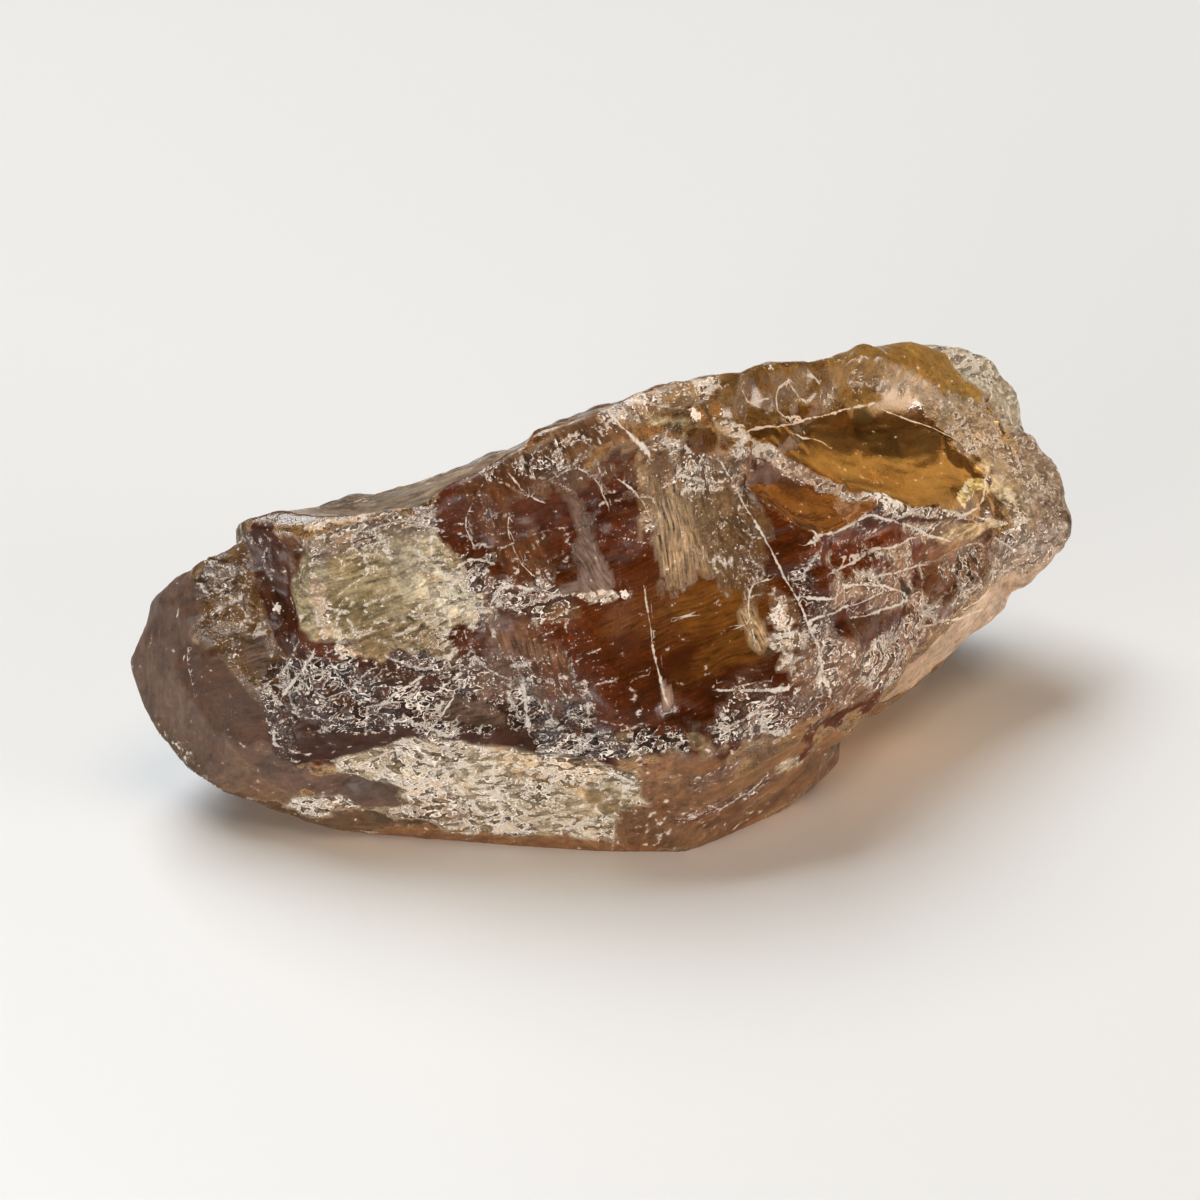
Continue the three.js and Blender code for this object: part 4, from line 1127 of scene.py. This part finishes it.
    def whiten(self, skin: Skin, rows: Array) -> Array:
        """Works out where the skin is bruised white.

        White lies on the crests between the finest bowls, on sharp outer edges and in loose dust.
        Slow noise breaks each of them up, and the amount is the greatest of the three.

        Args:
            skin: the chipped skin.
            rows: the finishes' numbers.

        Returns:
            The amount of white at each vertex, from 0 to 1.
        """
        at = skin.points
        curls, dust = rows[:, CURLS], rows[:, DUST]
        broken = clouds(at, BREAKING)
        crest = CRESTS.amount(np.abs(skin.flake[-1]), curls, broken)
        bruise = SHARP_EDGES.amount(self.broken_edges(skin), curls + dust, broken)
        specks = clouds(at, SPECKS) + dust * SPECK_SHARE - SPECK_LEVEL
        specks = np.where(dust > DUST_LEAST, specks, 0)
        white = np.maximum(np.maximum(crest, bruise), specks)
        for crumb in CRUMBS:
            distance = crumb.distance(at) + broken * CRUMB_BROKEN
            white = np.maximum(white, 1 - smooth_step(*CRUMB_EDGE, distance))
        return np.clip(white, 0, 1)

    def curl_cover(self, skin: Skin, rows: Array) -> Array:
        """How densely curls lie at each vertex: the finish's share, thinned by slow noise."""
        return np.clip(rows[:, CURLS] * (1 + clouds(skin.points, CURL_PATCHES)), 0, 1)

    def mottle(self, skin: Skin, rows: Array, flow: Array) -> Array:
        """The tints with slow patches of lighter, redder and greener skin, drawn out along the striae,
        and painted shade in the creases between the middle bowls.

        Args:
            skin: the chipped skin.
            rows: the finishes' numbers.
            flow: the places in the striae's axes.

        Returns:
            The mottled colour of each vertex.
        """
        at = flow / MM * MOTTLE_STRETCH
        light = 1 + clouds(at, MOTTLE_LIGHT)
        shift = 1 + clouds(at, MOTTLE_HUE)[:, None] * MOTTLE_SHIFT
        # painted shade: the skin is darkened in the creases between the 1.25 mm bowls, where it lies
        # lowest
        crest = 1 - smooth_step(0, CREASE_SHADE_WIDTH, np.abs(skin.flake[1]))
        light = light * (1 - CREASE_SHADE * crest * skin.worn)
        return np.clip(rows[:, COLOUR] * shift * light[:, None], 0, 1)

    def seam_offsets(self, skin: Skin) -> Array:
        """Signed distance along the skin to the nearest seam, in its half widths.

        A seam narrows or widens along its path, and one that runs deep beneath the skin does not
        show. The sign tells its two sides apart.

        Args:
            skin: the chipped skin.

        Returns:
            The signed distance at each vertex.
        """
        at = skin.points
        best = np.full(len(at), SEAM_FAR)
        signed = best.copy()
        waver = clouds(at, SEAM_WAVER)
        swell = SEAM_SWELL + noise(at, SEAM_SWELL_SIZE, SEAM_SWELL_SEED)
        for seam in SEAMS:
            path = rounded(seam.path)
            near = near_path(at, path, SEAM_DEPTH)
            facing = skin.facing[near]
            _, offset, heading, before = path_distance(at[near], path)
            width = seam.width * (1 + (seam.taper - 1) * before) * swell[near]
            aside = (np.cross(heading, facing) * offset).sum(1) + waver[near]
            along = (heading * offset).sum(1)
            deep = np.abs((facing * offset).sum(1)) > SEAM_DEPTH
            share = np.sqrt(aside**2 + along**2) / width + np.where(deep, SEAM_FAR, 0)
            closer = share < best[near]
            signed[near] = np.where(closer, share * np.sign(aside + HULL_TOLERANCE), signed[near])
            best[near] = np.minimum(best[near], share)
        return np.clip(signed, -SEAM_FAR, SEAM_FAR)

    def broken_edges(self, skin: Skin) -> Array:
        """How sharply the skin stands out at each vertex: its height over its neighbours' mean.

        The mean is taken twice over the squares round each vertex, and the height is measured
        along the outward normal.

        Args:
            skin: the chipped skin.

        Returns:
            The height at each vertex.
        """
        mean = skin.points
        count = gathered(np.ones((len(skin.squares), 1)), skin.squares)
        for _ in range(2):
            mean = gathered(mean[skin.squares].mean(1), skin.squares) / count
        facing = vertex_normals(skin.points, skin.squares)
        return ((skin.points - mean) * facing).sum(1)

    def build(self) -> bpy.types.Object:
        """Builds the stone inside the CAD node's box and gives it its material.

        Returns:
            The finished piece.
        """
        skin = self.break_surface()
        rows, flow = self.lay_finishes(skin)
        self.chip(skin, rows[:, RUBBLE])
        seam = self.seam_offsets(skin)
        near = 1 - smooth_step(*SEAM_FADE, np.abs(seam) / SEAM_FAR)
        attributes = {
            "tint": np.c_[self.mottle(skin, rows, flow), skin.flake[1]],
            "skin": np.c_[rows[:, SURFACE], self.whiten(skin, rows), seam],
            "marks": np.c_[rows[:, RELIEF], self.curl_cover(skin, rows), near],
            "flow": np.c_[flow, skin.flake[0]],
        }
        low, high = (np.array(corner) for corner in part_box(NODE))
        size = np.ptp(skin.points, axis=0)
        middle = (skin.points.max(0) + skin.points.min(0)) / 2
        placed = (skin.points - middle) / size * (high - low) + (high + low) / 2
        mesh = quad_mesh(self.name, placed, skin.squares)
        for name, values in attributes.items():
            layer = mesh.attributes.new(name, "FLOAT_COLOR", "POINT")
            layer.data.foreach_set("color", values.astype(np.float32).ravel())
        mesh.materials.append(StoneMaterial().build())
        piece = add_piece(self.name, mesh)
        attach(piece, BODY)
        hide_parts(NODE)
        log.info("%s: %d triangles", self.name, len(skin.squares) * 2)
        return piece


def first_crossing(crossings: Array, length: Array, round_off: float) -> Array:
    """The nearest of each ray's crossings, where the two nearest are joined by a round.

    Args:
        crossings: the ray parameters of its crossings, one ray per row.
        length: the rays' lengths.
        round_off: how far apart two crossings still touch the round.

    Returns:
        One ray parameter for each ray.
    """
    nearest = np.sort(crossings, axis=1)[:, :2]
    gap = (nearest[:, 1] - nearest[:, 0]) * length
    overlap = np.clip(round_off - gap, 0, None)
    return nearest[:, 0] - overlap**2 / (4 * round_off) / length


def look_row(look: Look, tint: Tint | None = None) -> Array:
    """Turns a look into the row of numbers that the layers blend."""
    colour = np.array(tint or look.tint) ** DISPLAY_GAMMA
    return np.array([*colour, look.clear, look.rough, look.curls, look.dust, look.grain, look.rubble])


def blend_rows(rows: Array, top: Array, cover: Array) -> Array:
    """Lays one row over the others by its cover at each vertex."""
    return rows + (top - rows) * cover[:, None]


def grain_axes(at: Array, heading: Point) -> Array:
    """Places of points in axes whose first runs along the striae.

    The second axis lies across the striae and the third is square to both, for the mean facing.

    Args:
        at: points, one per row.
        heading: direction of the striae.

    Returns:
        The places, in metres.
    """
    along = unit(np.array(heading))
    across = unit(np.cross(along, MEAN_FACING))
    deep = np.cross(along, across)
    return at @ np.stack([along, across, deep], 1) * MM


def gathered(values: Array, squares: Array) -> Array:
    """For each vertex, the sum of the values of the squares that meet there.

    Args:
        values: one row for each square.
        squares: four vertex numbers for each face.

    Returns:
        One row for each vertex.
    """
    total = np.zeros((squares.max() + 1, values.shape[1]))
    for corner in squares.T:
        np.add.at(total, corner, values)
    return total


def vertex_normals(points: Array, squares: Array) -> Array:
    """Outward normals: for each vertex, the sum of its squares' crossed diagonals.

    Args:
        points: vertices.
        squares: four vertex numbers for each face.

    Returns:
        One unit normal for each vertex.
    """
    corner = points[squares]
    area = np.cross(corner[:, 2] - corner[:, 0], corner[:, 3] - corner[:, 1])
    total = gathered(area, squares)
    return total / (np.linalg.norm(total, axis=1)[:, None] + HULL_TOLERANCE)


def add_piece(name: str, data: bpy.types.ID) -> bpy.types.Object:
    """Makes an object of a mesh, a light or a camera, and links it to the scene.

    Args:
        name: name of the object.
        data: the mesh, light or camera.

    Returns:
        The object.
    """
    piece = bpy.data.objects.new(name, data)
    bpy.context.scene.collection.objects.link(piece)
    return piece


def quad_mesh(name: str, points: Array, squares: Array) -> bpy.types.Mesh:
    """Makes a smooth-shaded mesh of triangles, each square parted along its outer diagonal.

    Args:
        name: name of the mesh.
        points: vertices in metres.
        squares: four vertex numbers for each face.

    Returns:
        The mesh.
    """
    corner = points[squares]
    facing = np.cross(corner[:, 2] - corner[:, 0], corner[:, 3] - corner[:, 1])
    rise = ((corner[:, 0] + corner[:, 2] - corner[:, 1] - corner[:, 3]) * facing).sum(1)
    first = np.where((rise > 0)[:, None], squares[:, [0, 1, 2]], squares[:, [0, 1, 3]])
    second = np.where((rise > 0)[:, None], squares[:, [0, 2, 3]], squares[:, [1, 2, 3]])
    triangles = np.vstack([first, second]).astype(np.int32)
    mesh = bpy.data.meshes.new(name)
    mesh.vertices.add(len(points))
    mesh.vertices.foreach_set("co", points.astype(np.float32).ravel())
    mesh.loops.add(triangles.size)
    mesh.loops.foreach_set("vertex_index", triangles.ravel())
    mesh.polygons.add(len(triangles))
    mesh.polygons.foreach_set("loop_start", np.arange(0, triangles.size, 3, dtype=np.int32))
    mesh.update(calc_edges=True)
    mesh.polygons.foreach_set("use_smooth", np.ones(len(triangles), bool))
    mesh.validate()
    return mesh


# ---------------------------------------------------------------- material


class Nodes:
    """A short way to write a node tree: each call adds one node and returns its result."""

    def __init__(self, name: str) -> None:
        """Makes an empty material of that name.

        Args:
            name: name of the material.
        """
        self.material = bpy.data.materials.new(name)
        self.material.use_nodes = True
        self.tree = self.material.node_tree
        self.tree.nodes.clear()

    def add(self, kind: str, inputs: dict[str | int, object], **settings: object) -> bpy.types.Node:
        """Adds a node.

        Args:
            kind: its type.
            inputs: a value or another node's output for each named socket.
            **settings: its other settings.

        Returns:
            The node.
        """
        node = self.tree.nodes.new(kind)
        for key, value in settings.items():
            setattr(node, key, value)
        for key, value in inputs.items():
            if isinstance(value, bpy.types.NodeSocket):
                self.tree.links.new(value, node.inputs[key])
            else:
                node.inputs[key].default_value = value
        return node

    def finish(self, surface: bpy.types.Node, volume: bpy.types.Node | None = None) -> None:
        """Joins the shaders to the output.

        Args:
            surface: shader of the skin.
            volume: shader of the inside, if there is one.
        """
        output = self.add("ShaderNodeOutputMaterial", {})
        self.tree.links.new(surface.outputs[0], output.inputs["Surface"])
        if volume:
            self.tree.links.new(volume.outputs[0], output.inputs["Volume"])

    def math(self, operation: str, *values: object) -> object:
        """Adds one sum and returns its result."""
        return self.add("ShaderNodeMath", dict(enumerate(values)), operation=operation).outputs[0]

    def times(self, first: object, second: object, plus: object = 0.0) -> object:
        """Returns the product of two numbers, plus a third."""
        return self.math("MULTIPLY_ADD", first, second, plus)

    def minus(self, first: object, second: object) -> object:
        """Returns the first number less the second."""
        return self.math("SUBTRACT", first, second)

    def most(self, first: object, second: object) -> object:
        """Returns the greater of two numbers."""
        return self.math("MAXIMUM", first, second)

    def absolute(self, value: object) -> object:
        """Returns a number without its sign."""
        return self.math("ABSOLUTE", value)

    def ramp(self, value: object, span: tuple[float, float]) -> object:
        """Returns a smooth rise from 0 to 1 over a span of values.

        Args:
            value: the number that rises.
            span: values at which it starts and ends.

        Returns:
            The rise.
        """
        inputs = {"Value": value, "From Min": span[0], "From Max": span[1]}
        node = self.add("ShaderNodeMapRange", inputs, interpolation_type="SMOOTHSTEP")
        return node.outputs["Result"]

    def mix(self, share: object, first: object, second: object) -> object:
        """Mixes two colours."""
        inputs = {0: share, 6: first, 7: second}
        return self.add("ShaderNodeMix", inputs, data_type="RGBA").outputs[2]

    def blend(self, share: object, first: object, second: object) -> object:
        """Mixes two numbers."""
        inputs = {0: share, 2: first, 3: second}
        return self.add("ShaderNodeMix", inputs, data_type="FLOAT").outputs[0]

    def vector(self, operation: str, inputs: dict[str | int, object]) -> object:
        """Adds one sum of vectors and returns its result."""
        return self.add("ShaderNodeVectorMath", inputs, operation=operation).outputs[0]

    def attribute(self, name: str) -> tuple[object, object]:
        """Reads the colour and the fourth number of a vertex attribute."""
        outputs = self.add("ShaderNodeAttribute", {}, attribute_name=name).outputs
        return outputs["Color"], outputs["Alpha"]

    def numbers(self, name: str) -> list[object]:
        """Reads the four numbers of a vertex attribute."""
        colour, last = self.attribute(name)
        return [*self.add("ShaderNodeSeparateColor", {0: colour}).outputs, last]

    def noise(
        self, place: object, size: float, detail: float, rough: float, stretch: Point = (1.0, 1.0, 1.0)
    ) -> object:
        """Cloudy noise from -0.5 to 0.5.

        Args:
            place: where to read it.
            size: size of its lumps in millimetres.
            detail: how many finer layers it has.
            rough: how strong those are.
            stretch: scale of each axis; less than one draws the lumps out.

        Returns:
            The noise.
        """
        place = self.vector("MULTIPLY", {0: place, 1: stretch})
        inputs = {"Vector": place, "Scale": 1 / (size * MM), "Detail": detail, "Roughness": rough}
        return self.minus(self.add("ShaderNodeTexNoise", inputs).outputs["Fac"], NOISE_MIDDLE)


NOISE_MIDDLE = 0.5
# sizes of the grit, of the striae and of the flakes, and how the last two are drawn out
GRIT_SIZE, STRIA_SIZE, FLAKE_SIZE = 0.10, 0.085, 0.19
STRIA_STRETCH = (0.10, 1.0, 0.35)
FLAKE_STRETCH = (0.55, 1.0, 0.8)
# curls are contours of the flake noise, white flake edges partly painted as highlights: where the first
# and second lie, and their widths
CURL_WIDTH, CURL_LEAST, CURL_GRIT = 0.026, 0.004, 0.10
CURL_EDGE = (-0.008, 0.006)
CURL_SHOWN = (0.45, 0.72)
SECOND_CURL, SECOND_WIDTH, SECOND_WHITE = 0.11, 0.8, 0.7
# the shadow on one side of a curl
SHADOW_OFFSET = 0.075
SHADOW_EDGE = (-0.045, 0.010)
LEAST_SHADE = 0.12
# brinks between the two larger sizes of bowls; the largest count double
LARGE_BOWL = 2.0
BRINK_GRIT, BRINK_FLAKE, BRINK_WHITE = 0.35, 2.0, 0.7
BRINK_EDGE = (0.0, 0.07)
BRINK_SHOWN = (0.25, 0.55)
# bruises and seams
WHITE_GRIT, WHITE_SHARE, WHITE_ROUGH = 1.3, 0.94, 0.6
WHITE_EDGE = (0.70, 0.90)
SEAM_FLAKE, SEAM_GRIT, SEAM_WHITE = 4.5, -2.4, 0.8
SEAM_EDGE = (0.5, 1.5)
CHALK_TINT = 0.06
# light and dark: the grit's, and the painted light and shade on the two sides of each flake edge, each
# growing with the cover of curls from a start; relief: growth with the rubble, and start
GRIT_SHADE = (2.0, 0.5)
FLAKE_SHADE = (2.1, 0.8)
STRIA_SHADE = 2.4
GRIT_ROUGH = 0.10
GRIT_RELIEF = (0.7, 0.05)
STRIA_RELIEF, CURL_RELIEF = 0.10, 0.30
BUMP_STRENGTH, BUMP_DEPTH = 0.8, 0.10


class StoneNodes(Nodes):
    """The parts of the stone's node tree. What several parts read is kept as a field."""

    def __init__(self, name: str) -> None:
        """Reads the attributes of the skin and adds the fine noises.

        Args:
            name: name of the material.
        """
        super().__init__(name)
        self.tint, self.small_gap = self.attribute("tint")
        along, self.large_gap = self.attribute("flow")
        self.clear, self.rough, self.bruised, self.seam = self.numbers("skin")
        self.grain, self.rubble, self.curls, self.near_seam = self.numbers("marks")
        place = self.add("ShaderNodeTexCoord", {}).outputs["Object"]
        self.grit = self.noise(place, GRIT_SIZE, detail=1.0, rough=0.6)
        self.flake = self.noise(along, FLAKE_SIZE, detail=1.0, rough=0.5, stretch=FLAKE_STRETCH)
        striae = self.noise(along, STRIA_SIZE, detail=1.5, rough=0.6, stretch=STRIA_STRETCH)
        self.lines = self.times(striae, self.grain)
        self.thin = self.times(self.grit, CURL_GRIT, self.times(self.curls, CURL_WIDTH, CURL_LEAST))
        self.shown = self.ramp(self.times(self.grit, WHITE_GRIT, self.curls), CURL_SHOWN)

    def curl(self) -> object:
        """Thin white flake edges, partly real and partly painted highlights on their crests, along two
        contours of the flake noise.

        Returns:
            How white they are.
        """
        first = self.ramp(self.minus(self.thin, self.absolute(self.flake)), CURL_EDGE)
        second = self.absolute(self.minus(self.flake, SECOND_CURL))
        second = self.ramp(self.minus(self.times(self.thin, SECOND_WIDTH), second), CURL_EDGE)
        return self.times(self.most(first, self.times(second, SECOND_WHITE)), self.shown)

    def under_curl(self) -> object:
        """The shadow that lies along one side of a flake edge."""
        aside = self.absolute(self.math("ADD", self.flake, SHADOW_OFFSET))
        return self.times(self.ramp(self.minus(self.thin, aside), SHADOW_EDGE), self.shown)

    def brink(self) -> object:
        """White brinks between the bowls, where curls are dense.

        Returns:
            How white they are.
        """
        large = self.times(self.absolute(self.large_gap), LARGE_BOWL)
        gap = self.math("MINIMUM", self.absolute(self.small_gap), large)
        brink = self.minus(1.0, self.ramp(self.times(self.grit, BRINK_GRIT, gap), BRINK_EDGE))
        return self.times(brink, self.ramp(self.times(self.flake, BRINK_FLAKE, self.curls), BRINK_SHOWN))

    def scratch(self) -> object:
        """White seams, broken up by the noise.

        Returns:
            How white they are.
        """
        aside = self.times(self.flake, SEAM_FLAKE, self.absolute(self.seam))
        line = self.ramp(self.times(self.grit, SEAM_GRIT, aside), SEAM_EDGE)
        return self.times(self.minus(1.0, line), self.near_seam)

    def white(self, curl: object) -> object:
        """How white the skin is: the greatest of its four kinds of marks.

        Args:
            curl: how white the flake edges and their painted highlights are.

        Returns:
            The white, from 0 to 1.
        """
        bruise = self.ramp(self.times(self.grit, WHITE_GRIT, self.bruised), WHITE_EDGE)
        seam = self.times(self.scratch(), SEAM_WHITE)
        return self.most(self.most(self.most(bruise, curl), seam), self.times(self.brink(), BRINK_WHITE))

    def body(self) -> object:
        """The colour of the skin between the white marks, with painted light and shade on the two sides
        of each flake edge and a painted shadow along one of them.

        Returns:
            The colour.
        """
        grit = self.times(self.grit, self.times(self.curls, *GRIT_SHADE))
        # painted light and shade: the skin is lighter on one side of each flake edge and darker on the
        # other
        shade = self.times(self.flake, self.times(self.curls, *FLAKE_SHADE), grit)
        shade = self.times(self.lines, STRIA_SHADE, self.math("ADD", shade, 1.0))
        body = self.vector("SCALE", {0: self.tint, "Scale": self.most(shade, LEAST_SHADE)})
        deep = self.vector("MULTIPLY_ADD", {0: self.tint, 1: SHADOW_GAIN, 2: SHADOW_FLOOR})
        return self.mix(self.under_curl(), body, self.vector("MULTIPLY", {0: body, 1: deep}))

    def relief(self, curl: object) -> object:
        """The fine relief of grit, striae and flake edges, as a bumped normal.

        Args:
            curl: how white the flake edges and their painted highlights are.

        Returns:
            The normal.
        """
        raised = self.math("ADD", self.grit, NOISE_MIDDLE)
        grit = self.times(raised, self.times(self.rubble, *GRIT_RELIEF))
        height = self.times(curl, CURL_RELIEF, self.times(self.lines, STRIA_RELIEF, grit))
        inputs = {"Height": height, "Strength": BUMP_STRENGTH, "Distance": BUMP_DEPTH * MM}
        return self.add("ShaderNodeBump", inputs).outputs[0]


@dataclass(frozen=True)
class StoneMaterial:
    """The stone's own material.

    Attributes:
        ior: apatite's refractive index.
        absorb: colour that is left after the light has passed.
        density: how fast the colour builds up, per metre.
        gloss: how strongly the opaque places mirror; 0.5 is polished stone.
    """

    ior: float = 1.634
    absorb: Tint4 = (0.80, 0.60, 0.20, 1.0)
    density: float = 190.0
    gloss: float = 0.10

    def build(self) -> bpy.types.Material:
        """Joins the parts of the node tree.

        Returns:
            The material.
        """
        n = StoneNodes("apatite_stone")
        curl = n.curl()
        white = n.white(curl)
        chalk = n.mix(CHALK_TINT, CHALK_COLOUR, n.tint)
        rough = n.math("ADD", n.rough, n.times(n.grit, GRIT_ROUGH, GRIT_ROUGH / 2))
        principled = n.add("ShaderNodeBsdfPrincipled", {
            "Base Color": n.mix(n.times(white, WHITE_SHARE), n.body(), chalk),
            "Roughness": n.blend(white, rough, WHITE_ROUGH),
            "Transmission Weight": n.times(n.clear, n.minus(1.0, white)),
            "Normal": n.relief(curl), "IOR": self.ior, "Specular IOR Level": self.gloss,
        })
        volume = n.add("ShaderNodeVolumeAbsorption", {"Color": self.absorb, "Density": self.density})
        n.finish(principled, volume)
        return n.material


# ---------------------------------------------------------------- studio


@dataclass(frozen=True)
class Lamp:
    """A soft box light.

    Attributes:
        name: what the light does.
        at: its place in metres.
        aim: the point that it faces.
        size: its sides in metres.
        power: its power in watts.
        colour: its colour.
    """

    name: str
    at: Point
    aim: Point
    size: tuple[float, float]
    power: float
    colour: Tint = (1.0, 1.0, 1.0)


@dataclass(frozen=True)
class Studio:
    """The floor, the lights and the camera.

    Attributes:
        azimuth: where the camera stands, in degrees round the stone.
        elevation: how high it looks from, in degrees.
        distance: how far it is from the target, in millimetres.
        target: the point that it looks at, in millimetres.
        lens: focal length in millimetres.
    """

    azimuth: float = -16.0
    elevation: float = 28.0
    distance: float = 120.0
    target: Point = (-1.15, -0.14, 6.0)
    lens: float = 108.0

    def build(self) -> None:
        """Builds all of it."""
        self.floor()
        self.camera()
        self.world()
        for lamp in LAMPS:
            self.lamp(lamp)

    def floor(self) -> None:
        """Lays a pale, slightly glossy sheet, far larger than the view."""
        half = FLOOR_HALF
        corners = np.array([(-half, -half, 0), (half, -half, 0), (half, half, 0), (-half, half, 0)])
        mesh = bpy.data.meshes.new("floor")
        mesh.from_pydata(corners.tolist(), [], [(0, 1, 2, 3)])
        n = Nodes("floor_sheet")
        shader = n.add("ShaderNodeBsdfPrincipled", {
            "Base Color": FLOOR_COLOUR, "Roughness": FLOOR_ROUGH, "Specular IOR Level": FLOOR_GLOSS,
        })
        n.finish(shader)
        mesh.materials.append(n.material)
        piece = add_piece("floor", mesh)
        log.info("floor")

    def camera(self) -> None:
        """Places the camera and makes it the scene's."""
        turn, rise = np.radians(self.azimuth), np.radians(self.elevation)
        away = np.array([np.sin(turn) * np.cos(rise), -np.cos(turn) * np.cos(rise), np.sin(rise)])
        target = np.array(self.target)
        data = bpy.data.cameras.new("camera")
        data.lens = self.lens
        data.sensor_width = SENSOR_WIDTH
        data.clip_start = NEAR_CLIP
        piece = add_piece("camera", data)
        piece.location = Vector((target + away * self.distance) * MM)
        piece.rotation_euler = Vector(-away).to_track_quat("-Z", "Y").to_euler()
        bpy.context.scene.camera = piece
        log.info("camera")

    def world(self) -> None:
        """Sets a pale light all round that is brighter behind and above the stone."""
        world = bpy.data.worlds.new("room")
        world.use_nodes = True
        tree = world.node_tree
        direction = tree.nodes.new("ShaderNodeTexCoord").outputs["Generated"]
        toward = tree.nodes.new("ShaderNodeVectorMath")
        toward.operation = "DOT_PRODUCT"
        toward.inputs[1].default_value = WORLD_BRIGHT_SIDE
        glow = tree.nodes.new("ShaderNodeMapRange")
        glow.interpolation_type = "SMOOTHSTEP"
        glow.inputs["From Min"].default_value = 0.0
        glow.inputs["To Min"].default_value, glow.inputs["To Max"].default_value = WORLD_STRENGTH
        tree.links.new(direction, toward.inputs[0])
        tree.links.new(toward.outputs["Value"], glow.inputs["Value"])
        tree.links.new(glow.outputs["Result"], tree.nodes["Background"].inputs["Strength"])
        bpy.context.scene.world = world
        bpy.context.scene.view_settings.view_transform = "Standard"

    def lamp(self, lamp: Lamp) -> None:
        """Adds one soft box light.

        Args:
            lamp: what it is like.
        """
        data = bpy.data.lights.new(lamp.name, "AREA")
        data.shape = "RECTANGLE"
        data.size, data.size_y = lamp.size
        data.energy = lamp.power
        data.color = lamp.colour
        piece = add_piece(lamp.name, data)
        piece.location = Vector(lamp.at)
        aim = Vector(lamp.aim) - Vector(lamp.at)
        piece.rotation_euler = aim.to_track_quat("-Z", "Y").to_euler()
        log.info("light %s", lamp.name)


FLOOR_HALF = 3.0
FLOOR_COLOUR = (0.80, 0.80, 0.80, 1.0)
FLOOR_ROUGH = 0.38
FLOOR_GLOSS = 0.4
SENSOR_WIDTH = 36.0
NEAR_CLIP = 0.001
WORLD_STRENGTH = (0.12, 0.95)
WORLD_BRIGHT_SIDE = (-0.24, 0.58, 0.78)
COOL = (0.92, 0.97, 1.0)
AMBER = (1.0, 0.74, 0.50)
WARM = (1.0, 0.92, 0.83)
LAMPS = (
    Lamp("window", (-0.20, 0.62, 0.98), (0.0, 0.0, 0.0), (0.8, 0.7), 14.5, COOL),
    Lamp("overhead", (0.20, -0.34, 1.05), (0.0, 0.0, 0.0), (0.8, 0.5), 3.3, AMBER),
    Lamp("left fill", (-1.10, -0.75, 0.15), (0.0, 0.0, 0.02), (0.9, 0.26), 12.5),
    Lamp("right fill", (1.10, -0.78, 0.15), (0.0, 0.0, 0.02), (0.7, 0.26), 13.0, WARM),
)


def main() -> None:
    """Builds the studio and the stone."""
    logging.basicConfig(level=logging.INFO, format="%(name)s: %(message)s")
    Studio().build()
    Stone(SKIN_STEPS).build()


if __name__ == "__main__":
    main()
